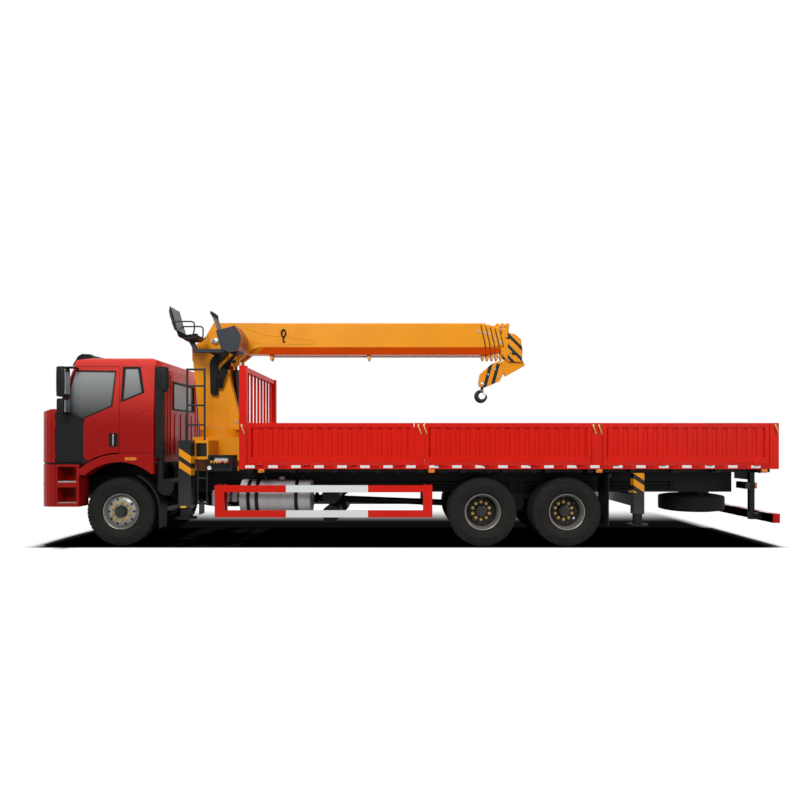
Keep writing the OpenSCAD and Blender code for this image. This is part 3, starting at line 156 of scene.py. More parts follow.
# baked enamel over pressed sheet: even red with a soft gloss, cloudy only as far as the sheet is wavy
enamelRedSpec = {"colour": "9c0f08", "rough": 0.30, "coat": 0.06, "shine": 0.13, "cloudMm": 900,
                 "cloud": 0.05, "grainMm": 6, "bump": 0.03, "edgeMm": 6, "dust": 0.10, "dustTop": 0.9}
# the bed's gates were sprayed in a brighter batch of the same red
gateRedSpec = dict(enamelRedSpec, colour="d41a0b", rough=0.4, coat=0.02, shine=0.12)
# two-pack crane enamel over welded plate: warm yellow, a little orange peel
enamelYellowSpec = {"colour": "e69514", "rough": 0.34, "coat": 0.15, "cloudMm": 700, "cloud": 0.06,
                    "grainMm": 5, "bump": 0.05, "edgeMm": 6, "dust": 0.3, "dustTop": 1.2}
# the console's curved rear wall: the crane's yellow painted down to brown, a painted shade for the wall
# turned away from the light
consoleShadedYellowSpec = dict(enamelYellowSpec, colour="8f4a1c", rough=0.4, coat=0.2)
# satin chassis paint on rolled channel: nearly black, dusty low down
chassisPaintSpec = {"colour": "0b0b0c", "rough": 0.5, "cloudMm": 300, "cloud": 0.25, "grainMm": 8,
                    "bump": 0.12, "edgeMm": 5, "dust": 0.05, "dustTop": 1.0}
# carbon-black tyre rubber: matt, with a grey bloom
tyreRubberSpec = {"colour": "191817", "rough": 0.78, "cloudMm": 120, "cloud": 0.2, "grainMm": 4, "bump": 0.12,
                  "edgeMm": 3, "dust": 0.07, "dustTop": 1.0}
# pressed wheel steel in dull silver-grey paint
wheelPaintSpec = {"colour": "8d8d8b", "rough": 0.38, "metal": 0.55, "cloudMm": 60, "cloud": 0.18,
                  "grainMm": 5, "bump": 0.1, "edgeMm": 3, "dust": 0.5, "dustTop": 1.0}
# deep-dished rear discs painted near-black: partly their satin black paint, partly painted shade for the
# hollow inside their rims
discBlackShadeSpec = dict(wheelPaintSpec, colour="1d1c1b", metal=0.2, rough=0.5, dust=0.12)
# grained polypropylene: black with a soft sheen from its fine pebble
mouldedBlackSpec = {"colour": "111213", "rough": 0.5, "cloudMm": 200, "cloud": 0.12, "grainMm": 3,
                    "bump": 0.25, "edgeMm": 6, "dust": 0.12, "dustTop": 0.9}
# smooth acrylic-faced panel: black and mirror bright
glossBlackSpec = {"colour": "0d0e10", "rough": 0.1, "coat": 0.6, "cloudMm": 400, "cloud": 0.05, "grainMm": 10,
                  "bump": 0.01, "edgeMm": 4}
# grey moulded ABS of the operator's console
consoleGreySpec = {"colour": "4b5158", "rough": 0.45, "cloudMm": 150, "cloud": 0.1, "grainMm": 3, "bump": 0.2,
                   "edgeMm": 12}
# powder coat on bent tube: dark blue-grey, slightly pebbled
tubeGreySpec = {"colour": "34383d", "rough": 0.4, "cloudMm": 200, "cloud": 0.1, "grainMm": 3, "bump": 0.15,
                "edgeMm": 3}
# mill-finish aluminium sheet, rolled: soft streaky grey
tankSheetSpec = {"colour": "c6c7c8", "rough": 0.42, "metal": 0.1, "cloudMm": 140, "cloud": 0.1, "grainMm": 3,
                 "bump": 0.05, "edgeMm": 8, "dust": 0.25, "dustTop": 1.0}
# hard chrome on a ground rod
chromeSpec = {"colour": "c9ccce", "rough": 0.08, "metal": 1.0, "cloudMm": 90, "cloud": 0.03, "grainMm": 2,
              "bump": 0.01, "edgeMm": 2}
# zinc plated pressings and bolts: pale with blue-grey patches
zincSpec = {"colour": "9d9f9c", "rough": 0.36, "metal": 0.9, "cloudMm": 40, "cloud": 0.16, "grainMm": 3,
            "bump": 0.08, "edgeMm": 2}
# wheel nuts and bed latches, zinc plated and passivated to a gold tone
yellowZincSpec = dict(zincSpec, colour="b89a58", rough=0.36, metal=0.6)
# forged hook steel, blackened
forgedSpec = {"colour": "2c2a28", "rough": 0.45, "metal": 0.6, "cloudMm": 35, "cloud": 0.2, "grainMm": 4,
              "bump": 0.3, "edgeMm": 4}
# drawn wire strands, greased
wireRopeSpec = {"colour": "dcd6cc", "rough": 0.4, "metal": 0.25, "cloudMm": 30, "cloud": 0.2, "grainMm": 5,
                "bump": 0.8, "edgeMm": 1}
# rubber hose with a wrapped cover
hoseSpec = {"colour": "101011", "rough": 0.6, "cloudMm": 50, "cloud": 0.15, "grainMm": 3, "bump": 0.3,
            "edgeMm": 2}
# moulded lens plastics: amber, red and clear
amberLensSpec = {"colour": "e07a12", "rough": 0.12, "coat": 0.5, "cloudMm": 20, "cloud": 0.12, "grainMm": 6,
                 "bump": 0.4, "edgeMm": 3}
redLensSpec = dict(amberLensSpec, colour="a8120e")
clearLensSpec = dict(amberLensSpec, colour="c9d0d4", rough=0.06)
# prismatic tape: glass-bead white and red, slightly grainy
tapeWhiteSpec = {"colour": "e3e5e4", "rough": 0.35, "cloudMm": 60, "cloud": 0.05, "grainMm": 4, "bump": 0.15,
                 "edgeMm": 1}
tapeRedSpec = dict(tapeWhiteSpec, colour="b3100c")
# coated vinyl of the seats, embossed with a leather grain
leatheretteSpec = {"colour": "1b1c1e", "rough": 0.34, "shine": 0.4, "cloudMm": 90, "cloud": 0.12,
                   "grainMm": 7, "bump": 0.5, "edgeMm": 8}
# mirror glass in its housing
mirrorSpec = {"colour": "b7bec2", "rough": 0.03, "metal": 1.0, "cloudMm": 500, "cloud": 0.02, "grainMm": 20,
              "bump": 0.0, "edgeMm": 2}


def cabColours(tree, place):  # painted highlight: the cab's red is painted lighter towards the roof, standing in for the sky's light on the upper panels
    height = addNode(tree, "ShaderNodeSeparateXYZ", links={0: place}).outputs["Z"]
    paintedSkylight = addNode(tree, "ShaderNodeMapRange", {1: 1.85, 2: 2.75}, {0: height},
                     interpolation_type="SMOOTHSTEP").outputs[0]
    return mixColour(tree, paintedSkylight, "9a0d07", "cf3a32")


# black lower front corner and mirror carriers of each door, the rest as the cab
def doorColours(tree, place):
    low = insideMask(tree, place, {"X": (-5.63, -5.19), "Z": (1.33, 2.13)})
    panel = insideMask(tree, place, {"Y": (-1.238, 1.238)})
    cornered = mixColour(tree, low, cabColours(tree, place), "0c0d0e")
    return mixColour(tree, panel, "0c0d0e", cornered)


def guardColours(tree, place):  # white middle third of the side guards, black underrun bar at the tail
    middle = insideMask(tree, place, {"X": (-1.93, -0.62), "Z": (0.4, 1.05)})
    striped = mixColour(tree, middle, gateRedSpec["colour"], "e2e6e8")
    tail = insideMask(tree, place, {"X": (3.0, 7.0), "Z": (0.0, 2.0)})
    return mixColour(tree, tail, striped, "0c0c0d")


def tubeStripes(tree, place):  # two yellow bands under the cap of each black jack tube, and one low mark
    bands = stripeMask(tree, place, 0.67, 1.0, ((-0.979, -0.861), (-1.171, -1.059)))
    front = insideMask(tree, place, {"X": (-3.636, -3.40)})
    tube = mixColour(tree, joinMasks(tree, (bands, front)), "17191c", enamelYellowSpec["colour"])
    mark = insideMask(tree, place, {"X": (-3.61, -3.52), "Z": (0.615, 0.650)})
    tube = mixColour(tree, mark, tube, "e8c21c")
    beam = insideMask(tree, place, {"Y": (-1.049, 1.049)})
    return mixColour(tree, beam, tube, "191716")


def rearStripes(tree, place):  # the same bands on the shorter rear tubes
    bands = stripeMask(tree, place, 0.67, 1.0, [(3.22 + 0.19 * k, 3.33 + 0.19 * k) for k in range(4)])
    high = insideMask(tree, place, {"Z": (0.86, 1.25)})
    return mixColour(tree, joinMasks(tree, (bands, high)), "141517", enamelYellowSpec["colour"])


# grey console and frame, black hose guard against the column, steel lever stems
def stationColours(tree, place):
    guard = insideMask(tree, place, {"Y": (-0.36, -0.26), "Z": (2.4, 3.25)})
    plain = mixColour(tree, guard, "33373d", "08080a")
    stems = insideMask(tree, place, {"X": (-3.30, -3.05), "Z": (3.53, 4.0)})
    return mixColour(tree, stems, plain, "7d7068")


# three dark bands down the boom head, two across the hook block, the knee plain
def headStripes(tree, place):
    bands = [5.347 - 0.195 * k for k in range(3)]
    falling = stripeMask(tree, place, 1.0, 1.0, [(at - 0.036, at + 0.036) for at in bands])
    plates = insideMask(tree, place, {"X": (1.775, 2.40), "Z": (3.085, 3.70)})
    striped = mixColour(tree, joinMasks(tree, (falling, plates)), enamelYellowSpec["colour"], "1c2129")
    rising = stripeMask(tree, place, 1.0, -0.27, ((0.630, 0.692), (0.760, 0.822)))
    cheeks = insideMask(tree, place, {"X": (1.20, 1.72), "Z": (2.50, 3.06)})
    return mixColour(tree, joinMasks(tree, (rising, cheeks)), striped, "1c2129")


tankStraps = {"x": (-2.611, -2.473, -1.832), "width": 0.060}


def tankColours(tree, place):  # three painted straps round the sheet tank
    colour = tankSheetSpec["colour"]
    for x in tankStraps["x"]:
        band = insideMask(tree, place, {"X": (x, x + tankStraps["width"])})
        colour = mixColour(tree, band, colour, "0b0b0c")
    return colour


def bedsideColours(tree, place):  # near-black control box, grey tubes round it
    box = insideMask(tree, place, {"X": (-3.22, -2.81), "Z": (1.19, 1.47)})
    return mixColour(tree, box, "2b2f34", "15171a")


def boomUnderShadeColours(tree, place):  # folded bottom plates painted a deeper orange: painted shade for the faces turned down, away from the light
    low = insideMask(tree, place, {"X": (-2.7, 2.0), "Z": (2.9, 3.332)})
    swept = stripeMask(tree, place, 1.0, -1.2, ((-6.498, 4.0),))
    return mixColour(tree, joinMasks(tree, (low, swept)), enamelYellowSpec["colour"], "ee5a0b")


def deckColours(tree, place):  # worn grey-red chequer plate on top, enamel on the rails
    top = insideMask(tree, place, {"X": (-2.66, 5.93), "Y": (-1.2, 1.2), "Z": (1.3, 1.33)})
    bearers = insideMask(tree, place, {"Z": (0.9, 1.2365)})
    return mixColour(tree, bearers, mixColour(tree, top, gateRedSpec["colour"], "6d2a24"), "0b0b0c")


def lampColours(tree, place):  # amber markers, black housings at the tail
    tail = insideMask(tree, place, {"X": (5.2, 5.9), "Z": (0.85, 1.06)})
    return mixColour(tree, tail, amberLensSpec["colour"], "0c0c0d")


finishes = {}
plainFinishes = {"enamelRed": enamelRedSpec, "gateRed": gateRedSpec, "enamelYellow": enamelYellowSpec,
                 "consolePaintedShade": consoleShadedYellowSpec, "chassisPaint": chassisPaintSpec,
                 "tyreRubber": tyreRubberSpec, "wheelPaint": wheelPaintSpec, "discBlackShade": discBlackShadeSpec,
                 "mouldedBlack": mouldedBlackSpec, "glossBlack": glossBlackSpec, "tubeGrey": tubeGreySpec,
                 "tankSheet": tankSheetSpec, "chrome": chromeSpec, "zincPlate": zincSpec,
                 "yellowZinc": yellowZincSpec, "forgedSteel": forgedSpec, "wireRope": wireRopeSpec,
                 "hoseRubber": hoseSpec, "amberLens": amberLensSpec, "redLens": redLensSpec,
                 "clearLens": clearLensSpec, "tapeWhite": tapeWhiteSpec, "tapeRed": tapeRedSpec,
                 "leatherette": leatheretteSpec, "mirrorGlass": mirrorSpec}
paintedFinishes = {"cabEnamel": (enamelRedSpec, cabColours), "doorEnamel": (enamelRedSpec, doorColours),
                   "guardEnamel": (enamelRedSpec, guardColours),
                   "hazardTube": (enamelYellowSpec, tubeStripes),
                   "hazardRear": (enamelYellowSpec, rearStripes),
                   "stationGrey": (consoleGreySpec, stationColours),
                   "hazardHead": (enamelYellowSpec, headStripes),
                   "boomEnamel": (enamelYellowSpec, boomUnderShadeColours),
                   "tankStrapped": (tankSheetSpec, tankColours), "lampSet": (amberLensSpec, lampColours),
                   "bedsideGrey": (tubeGreySpec, bedsideColours),
                   "deckPlate": (dict(enamelRedSpec, rough=0.45), deckColours)}
for finishName, spec in plainFinishes.items():
    finishes[finishName] = surfaceFinish(finishName, spec)
for finishName, (spec, colourFrom) in paintedFinishes.items():
    finishes[finishName] = surfaceFinish(finishName, spec, colourFrom)

# tinted float glass: grey, painted lighter towards the top as a painted reflection of the sky, mirror-smooth
glassSpec = {"low": "1d1f1f", "high": "a9acad", "rough": 0.02, "solid": 0.80, "from": 2.06, "to": 2.84}
glassPane, glassTree, glassPlace = startFinish("tintedGlass")
ripple = addNode(glassTree, "ShaderNodeTexNoise", {"Scale": 2.5}, {"Vector": glassPlace}).outputs["Fac"]
roughness = addNode(glassTree, "ShaderNodeMapRange", {3: glassSpec["rough"], 4: glassSpec["rough"] * 2},
                    {0: ripple}).outputs[0]
glassHeight = addNode(glassTree, "ShaderNodeSeparateXYZ", links={0: glassPlace}).outputs["Z"]
# painted reflection: the glass colour runs from dark low down to light grey near the top
paintedSkyReflection = addNode(glassTree, "ShaderNodeMapRange", {1: glassSpec["from"], 2: glassSpec["to"]},
                     {0: glassHeight}).outputs[0]
glassReflectionColour = mixColour(glassTree, paintedSkyReflection, glassSpec["low"], glassSpec["high"])
glassShader = addNode(glassTree, "ShaderNodeBsdfPrincipled", {"IOR": 1.52, "Alpha": glassSpec["solid"]},
                      {"Base Color": glassReflectionColour, "Roughness": roughness}).outputs[0]
addNode(glassTree, "ShaderNodeOutputMaterial", links={0: glassShader})
finishes["tintedGlass"] = glassPane
print("finishes ready:", len(finishes))

# the finish of each carried-over solid, by how its name starts
nodeFinish = {"chassisPaint": ("chassis_frame", "axles", "engine", "air_tanks", "cab_floor", "knuckle",
                               "front_jack", "rear_jack"),
              "enamelRed": ("front_bumper", "step_fenders"), "lampSet": ("lamps",),
              "tankStrapped": ("fuel_tank",), "mouldedBlack": ("mudguards", "cab_interior", "visor"),
              "guardEnamel": ("guards",), "deckPlate": ("bed_floor",),
              "gateRed": ("headboard", "gate", "tailgate"),
              "tyreRubber": ("spare_wheel", "front_wheel", "rear_wheels"), "enamelYellow": ("crane",),
              "hazardRear": ("rear_outrigger",), "hazardTube": ("front_beam",), "bedsideGrey": ("ladder",),
              "cabEnamel": ("cab_front", "cab_sides", "cab_rear", "cab_roof"),
              "doorEnamel": ("door_left", "door_right"), "tintedGlass": ("cab_glass", "door_glass"),
              "leatherette": ("operator_seat",), "stationGrey": ("operator_station",),
              "hazardHead": ("boom_section_5",), "boomEnamel": ("boom",), "forgedSteel": ("hook",),
              "glossBlack": ("luff_barrel",), "chrome": ("luff_rod",)}
for nodeName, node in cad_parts.items():
    finishName = next(name for name, starts in nodeFinish.items() if nodeName.startswith(starts))
    node.data.materials.clear()
    node.data.materials.append(finishes[finishName])
print("solids dressed:", len(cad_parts))


# mesh makers, all in metres in the part's frame
def turns(count):  # angles of equal steps round a circle
    return [2 * math.pi * i / count for i in range(count)]


def addBox(mesh, low, high):
    made = bmesh.ops.create_cube(mesh, size=1.0)["verts"]
    middle = (Vector(low) + Vector(high)) / 2
    size = Vector(high) - Vector(low)
    bmesh.ops.transform(mesh, matrix=Matrix.Translation(middle) @ Matrix.Diagonal((*size, 1.0)), verts=made)


def skinRows(mesh, rows):  # quads between neighbouring rows of vertices, each row a closed ring
    count = len(rows[0])
    for a, b in zip(rows, rows[1:]):
        for i in range(count):
            j = (i + 1) % count
            mesh.faces.new((a[i], a[j], b[j], b[i]))


def addRing(mesh, rings):  # skins a list of equal rings of points and caps both ends
    rows = [[mesh.verts.new(p) for p in ring] for ring in rings]
    skinRows(mesh, rows)
    mesh.faces.new(list(reversed(rows[0])))
    mesh.faces.new(rows[-1])


def sideAxes(direction):
    direction = direction.normalized()
    other = Vector((0, 0, 1)) if abs(direction.z) < 0.9 else Vector((1, 0, 0))
    first = direction.cross(other).normalized()
    return first, direction.cross(first).normalized()


def circle(centre, u, v, radius, sides):
    return [centre + radius * (u * math.cos(a) + v * math.sin(a)) for a in turns(sides)]


def addRod(mesh, start, end, radius, sides=12):
    start, end = Vector(start), Vector(end)
    u, v = sideAxes(end - start)
    addRing(mesh, [circle(point, u, v, radius, sides) for point in (start, end)])


def smoothPath(points, steps=6):  # a curve through the points
    points = [Vector(p) for p in points]
    line = [points[0] * 2 - points[1]] + points + [points[-1] * 2 - points[-2]]
    out = []
    for a, b, c, d in zip(line, line[1:], line[2:], line[3:]):
        for k in range(steps):
            t = k / steps
            out.append(0.5 * (2 * b + (c - a) * t + (2 * a - 5 * b + 4 * c - d) * t * t
                              + (3 * b - a - 3 * c + d) * t ** 3))
    return out + [points[-1]]


def addTube(mesh, points, radius, sides=10, smooth=True):
    path = smoothPath(points) if smooth else [Vector(p) for p in points]
    u = None
    rings = []
    for i, point in enumerate(path):
        direction = (path[min(i + 1, len(path) - 1)] - path[max(i - 1, 0)]).normalized()
        u = sideAxes(direction)[0] if u is None else (u - direction * u.dot(direction)).normalized()
        rings.append(circle(point, u, direction.cross(u), radius, sides))
    addRing(mesh, rings)


def addLathe(mesh, profile, centre, axis="Y", sides=48):  # profile of (radius, along) pairs, closed on itself
    order = {"X": (2, 0, 1), "Y": (0, 2, 1), "Z": (0, 1, 2)}[axis]
    rows = []
    for a in turns(sides):
        points = [(r * math.cos(a), r * math.sin(a), t) for r, t in profile]
        rows.append([mesh.verts.new(Vector(centre) + Vector([p[k] for k in order])) for p in points])
    skinRows(mesh, rows + rows[:1])


def addPlate(mesh, outline, low, high, axis="Y"):  # an outline drawn out along an axis
    order = {"Y": lambda p, t: (p[0], t, p[1]), "X": lambda p, t: (t, p[0], p[1]),
             "Z": lambda p, t: (p[0], p[1], t)}[axis]
    addRing(mesh, [[Vector(order(p, low)) for p in outline], [Vector(order(p, high)) for p in outline]])


# turned form on a leaning axis, of (distance, radius) pairs
def addTurned(mesh, foot, along, profile, sides=20):
    u, v = sideAxes(along)
    addRing(mesh, [circle(foot + along * d, u, v, r, sides) for d, r in profile])


def addBolt(mesh, point, axis, size, height):  # hexagon head standing out along an axis
    point, axis = Vector(point), Vector(axis).normalized()
    addRod(mesh, point, point + axis * height * 0.3, size * 0.72, 14)
    addRod(mesh, point, point + axis * height, size * 0.55, 6)


def makePiece(mesh, name, finishName, body, bevelMm=0.0, smoothDeg=35):
    bmesh.ops.recalc_face_normals(mesh, faces=mesh.faces[:])
    data = bpy.data.meshes.new(name)
    mesh.to_mesh(data)
    mesh.free()
    data.materials.append(finishes[finishName])
    piece = bpy.data.objects.new(name, data)
    scene.collection.objects.link(piece)
    data.polygons.foreach_set("use_smooth", [True] * len(data.polygons))
    if bevelMm:
        soften = piece.modifiers.new("softEdge", "BEVEL")
        soften.width = bevelMm / 1000
        soften.segments = 2
        soften.limit_method = "ANGLE"
        soften.angle_limit = math.radians(smoothDeg)
        soften.harden_normals = True
    data.set_sharp_from_angle(angle=math.radians(smoothDeg))
    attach(piece, body)
    return piece


def buildPiece(maker, name, finishName, body, bevelMm=0.0, smoothDeg=35):
    mesh = bmesh.new()
    maker(mesh)
    return makePiece(mesh, name, finishName, body, bevelMm, smoothDeg)


# the same piece on both sides, drawn on the near one
def sidePair(maker, name, finishName, bodies, bevelMm=0.0, smoothDeg=35):
    for sideName, body, flip in (("Left", bodies[0], 1), ("Right", bodies[1], -1)):
        mesh = bmesh.new()
        maker(mesh)
        bmesh.ops.transform(mesh, matrix=Matrix.Diagonal((1, flip, 1, 1)), verts=mesh.verts[:])
        makePiece(mesh, name + sideName, finishName, body, bevelMm, smoothDeg)


# wheels: tyre, rim, disc, hub and nuts, shared by every place on the lorry
wheel = {"radius": 0.5495, "rimRadius": 0.285, "lugs": 54, "treadDepth": 0.014, "nuts": 10,
         "nutCircle": 0.1425, "handHoles": 10, "handCircle": 0.204, "hubBolts": 8, "hubCircle": 0.081,
         "discThick": 0.014,
         "treadRows": ((-0.118, -0.074), (-0.066, -0.026), (-0.018, 0.018), (0.026, 0.066), (0.074, 0.118)),
         "rimShell": ((0.291, 0.121), (0.286, 0.128), (0.277, 0.122), (0.270, 0.098), (0.262, 0.080),
                      (0.246, 0.040), (0.246, -0.060), (0.264, -0.098), (0.279, -0.122), (0.288, -0.126),
                      (0.286, -0.112), (0.272, -0.095), (0.258, -0.055), (0.257, 0.040), (0.272, 0.090),
                      (0.284, 0.110)),
         "sidewall": ((0.275, 0.094), (0.297, 0.112), (0.305, 0.124), (0.330, 0.135), (0.368, 0.1435),
                      (0.405, 0.145), (0.412, 0.1475), (0.420, 0.1475), (0.426, 0.144), (0.462, 0.139),
                      (0.500, 0.129), (0.523, 0.120))}
# where the disc sits, outwards from the rim's middle, how far its edge falls back, and the hub's reach
discs = {"front": (0.106, 0.050, 0.066), "outer": (-0.130, -0.060, 0.115), "inner": (-0.130, -0.060, 0.02)}


def addTyre(mesh):
    r = wheel["radius"]
    floor = r - wheel["treadDepth"]
    half = [*wheel["sidewall"], (floor, 0.112)]
    profile = [(a, -b) for a, b in half] + [(floor, b) for b in (-0.05, 0.0, 0.05)]
    profile += half[::-1] + [(wheel["rimRadius"] - 0.012, 0.0)]
    addLathe(mesh, profile, (0, 0, 0), "Y", 96)
    # tread: three straight ribs of blocks and a shoulder row on each side that wraps over the edge
    for row, (low, high) in enumerate(wheel["treadRows"]):
        edge = row in (0, 4)
        count = wheel["lugs"] if edge else wheel["lugs"] * 4 // 3
        fill = 0.72 if edge else 0.86
        slant = 0.02 if row % 2 else -0.02
        drop = 0.005
        for i in range(count):
            a0 = 2 * math.pi * (i + 0.37 * row) / count
            a1 = a0 + 2 * math.pi / count * fill
            rings = []
            for t, shift in ((low, -slant / 2), (high, slant / 2)):
                top = r - drop if edge and abs(t) > 0.1 else r
                corners = ((a0, floor - 0.004), (a1, floor - 0.004), (a1, top), (a0, top))
                turned = [(a + shift, h) for a, h in corners]
                rings.append([Vector((h * math.cos(a), t, h * math.sin(a))) for a, h in turned])
            addRing(mesh, rings)


def addRim(mesh, side):  # side is the wheel's outer face, -1 towards -Y
    addLathe(mesh, [(a, side * b) for a, b in wheel["rimShell"]], (0, 0, 0), "Y", 64)


def addDisc(mesh, side, dish, cone):
    front = [(0.254, dish - cone), (0.236, dish - 0.6 * cone), (0.206, dish - 0.12 * cone), (0.172, dish),
             (0.098, dish)]
    rear = dish - wheel["discThick"]
    back = [(0.098, rear), (0.170, rear), (0.204, rear - 0.12 * cone), (0.232, rear - 0.6 * cone),
            (0.252, rear + 0.002 - cone)]
    addLathe(mesh, [(a, side * b) for a, b in front + back], (0, 0, 0), "Y", 64)


def addNuts(mesh, side, dish):
    for i in range(wheel["nuts"]):
        a = 2 * math.pi * (i + 0.5) / wheel["nuts"]
        at = Vector((wheel["nutCircle"] * math.cos(a), side * dish, wheel["nutCircle"] * math.sin(a)))
        for reach, radius, sides in ((0.006, 0.026, 16), (0.034, 0.0185, 6), (0.050, 0.011, 10)):
            addRod(mesh, at, at + Vector((0, side * reach, 0)), radius, sides)


def addHub(mesh, side, dish, reach):
    hub = [(0.097, dish - 0.02), (0.097, dish + reach * 0.55), (0.088, dish + reach * 0.72),
           (0.074, dish + reach * 0.76), (0.070, dish + reach), (0.040, dish + reach * 1.03),
           (0.002, dish + reach * 1.03), (0.002, dish - 0.02)]
    addLathe(mesh, [(a, side * b) for a, b in hub], (0, 0, 0), "Y", 32)
    for a in turns(wheel["hubBolts"]):
        at = (wheel["hubCircle"] * math.cos(a), side * (dish + reach * 0.72),
              wheel["hubCircle"] * math.sin(a))
        addBolt(mesh, at, (0, side, 0), 0.010, 0.010)


def addHandHoles(mesh, side, dish, cone):  # round openings of the disc, as shallow gloss black cups: painted shade standing in for the dark seen through the holes
    lean = cone * 10
    for a in turns(wheel["handHoles"]):
        at = Vector((wheel["handCircle"] * math.cos(a), side * (dish - 0.14 * cone),
                     wheel["handCircle"] * math.sin(a)))
        normal = Vector((math.cos(a) * lean, side, math.sin(a) * lean)).normalized()
        addRod(mesh, at - normal * 0.006, at + normal * 0.0022, 0.0215, 20)


def addValve(mesh, side, dish):
    base = Vector((0.0, side * (dish - 0.03), 0.235))
    stem = (base, base + Vector((0, side * 0.03, 0.004)), base + Vector((0, side * 0.075, -0.012)))
    addTube(mesh, stem, 0.0055, 8)


def makeWheel(name, body, places, node, discFinish):  # places: (x, y, side, kind of disc)
    tyres, rims, dishes, hubs, nuts = (bmesh.new() for _ in range(5))
    for x, y, side, kind in places:
        dish, cone, reach = discs[kind]
        for target, maker, extra in ((tyres, addTyre, ()), (rims, addRim, (side,)),
                                     (dishes, addDisc, (side, dish, cone)), (nuts, addNuts, (side, dish)),
                                     (hubs, addHub, (side, dish, reach)),
                                     (hubs, addHandHoles, (side, dish, cone)),
                                     (nuts, addValve, (side, dish))):
            before = len(target.verts)
            maker(target, *extra)
            target.verts.ensure_lookup_table()
            bmesh.ops.translate(target, vec=(x, y, lorry["wheelZ"]), verts=target.verts[before:])
    rubber = makePiece(tyres, name + "Tyre", "tyreRubber", body, smoothDeg=28)
    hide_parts(node)
    for mesh, part, finishName, slot, smoothDeg in ((rims, "Rim", "wheelPaint", "tyre", 30),
                                                    (dishes, "Disc", discFinish, "tyre", 30),
                                                    (hubs, "Hub", "glossBlack", "tyre", 40),
                                                    (nuts, "Nuts", "yellowZinc", "steel", 30)):
        makePiece(mesh, name + part, finishName, body, smoothDeg=smoothDeg)


for sideName, sign in (("Left", -1), ("Right", 1)):
    side = sideName.lower()
    makeWheel("front" + sideName, "wheel_f" + side[0],
              [(lorry["axleFront"], sign * lorry["trackFront"], sign, "front")], "front_wheel_" + side,
              "wheelPaint")
    for i, axle in enumerate(lorry["axleRear"], 1):
        middle, spread = sign * lorry["trackRear"], sign * lorry["twinGap"] / 2
        makeWheel("rear%d%s" % (i, sideName), "wheels_r%d%s" % (i, side[0]),
                  [(axle, middle + spread, sign, "outer"), (axle, middle - spread, -sign, "inner")],
                  "rear_wheels_%d_%s" % (i, side), "discBlackShade")
print("wheels made")

# cab sides: black door corner, window seals, swage lines, handles, repeaters and step treads
cabSide = {"proud": 0.003, "lean": 0.035, "beltZ": 2.150, "roofZ": 2.900,
           "corner": [(-5.607, 2.150), (-5.452, 2.138), (-5.150, 2.030), (-5.165, 1.985), (-5.176, 1.900),
                      (-5.176, 1.470), (-5.160, 1.420), (-5.120, 1.385), (-5.075, 1.368), (-5.120, 1.354),
                      (-5.607, 1.354)],
           "doorPane": [(-5.465, 2.182), (-5.195, 2.053), (-4.732, 2.257), (-4.679, 2.796), (-5.314, 2.805)],
           "quarterPane": [(-4.540, 2.350), (-4.250, 2.470), (-4.310, 2.850), (-4.510, 2.850)],
           "quarterFrame": [(-4.582, 2.304), (-4.200, 2.462), (-4.270, 2.880), (-4.552, 2.880)]}


def sideY(z):  # the cab's side plane leans in above the belt
    lean = cabSide["lean"] * max(0.0, z - cabSide["beltZ"]) / (cabSide["roofZ"] - cabSide["beltZ"])
    return -lorry["cabY"] + lean


def addSidePlate(mesh, outline, proud, depth=0.004):
    addRing(mesh, [[Vector((x, sideY(z) + depth, z)) for x, z in outline],
                   [Vector((x, sideY(z) - proud, z)) for x, z in outline]])


def addSideFrame(mesh, inner, outer, proud):  # band between two outlines of equal count
    rings = []
    for outline, out in ((inner, -0.004), (inner, proud), (outer, proud), (outer, -0.004)):
        rings.append([mesh.verts.new((x, sideY(z) - out, z)) for x, z in outline])
    skinRows(mesh, rings + rings[:1])


def widen(outline, by):  # moves every corner out from the middle
    middle = Vector((sum(p[0] for p in outline) / len(outline), sum(p[1] for p in outline) / len(outline)))
    return [tuple(Vector(p) + (Vector(p) - middle).normalized() * by) for p in outline]


doors, wholeCab, wholeChassis = ("left_door", "right_door"), ("cab", "cab"), ("chassis", "chassis")
sidePair(lambda m: addSidePlate(m, cabSide["corner"], cabSide["proud"]), "doorCorner", "mouldedBlack", doors,
         2)
sidePair(lambda m: addSideFrame(m, cabSide["doorPane"], widen(cabSide["doorPane"], 0.026), 0.006), "doorSeal",
         "mouldedBlack", doors, 3)
sidePair(lambda m: addSideFrame(m, cabSide["quarterPane"], cabSide["quarterFrame"], 0.005), "quarterFrame",
         "mouldedBlack", wholeCab, 3)


def addSwages(mesh):  # pressed ridges behind the door
    for z, low, high in ((1.828, -4.585, -4.115), (1.600, -4.585, -4.115)):
        addRod(mesh, (low, sideY(z) + 0.003, z), (high, sideY(z) + 0.003, z), 0.008, 10)
    addRod(mesh, (-4.50, sideY(2.07) + 0.003, 2.05), (-4.12, sideY(2.2) + 0.003, 2.19), 0.008, 10)


sidePair(addSwages, "sideSwages", "enamelRed", wholeCab)


def addHandleCup(mesh):
    low, high = (-4.760, 1.592), (-4.622, 1.815)
    outline = []
    for cx, cz, start in ((high[0] - 0.03, high[1] - 0.03, 0), (low[0] + 0.03, high[1] - 0.03, 90),
                          (low[0] + 0.03, low[1] + 0.03, 180), (high[0] - 0.03, low[1] + 0.03, 270)):
        for k in range(5):
            a = math.radians(start + 22.5 * k)
            outline.append((cx + 0.03 * math.cos(a), cz + 0.03 * math.sin(a)))
    addSideFrame(mesh, widen(outline, -0.012), outline, 0.006)
    addSidePlate(mesh, widen(outline, -0.010), 0.0012)


sidePair(addHandleCup, "handleCup", "mouldedBlack", doors, 1)
sidePair(lambda m: addTube(m, ((-4.690, -1.222, 1.800), (-4.690, -1.243, 1.780), (-4.690, -1.248, 1.705),
                               (-4.690, -1.243, 1.628), (-4.690, -1.222, 1.608)), 0.011, 12),
         "handleBar", "zincPlate", doors)


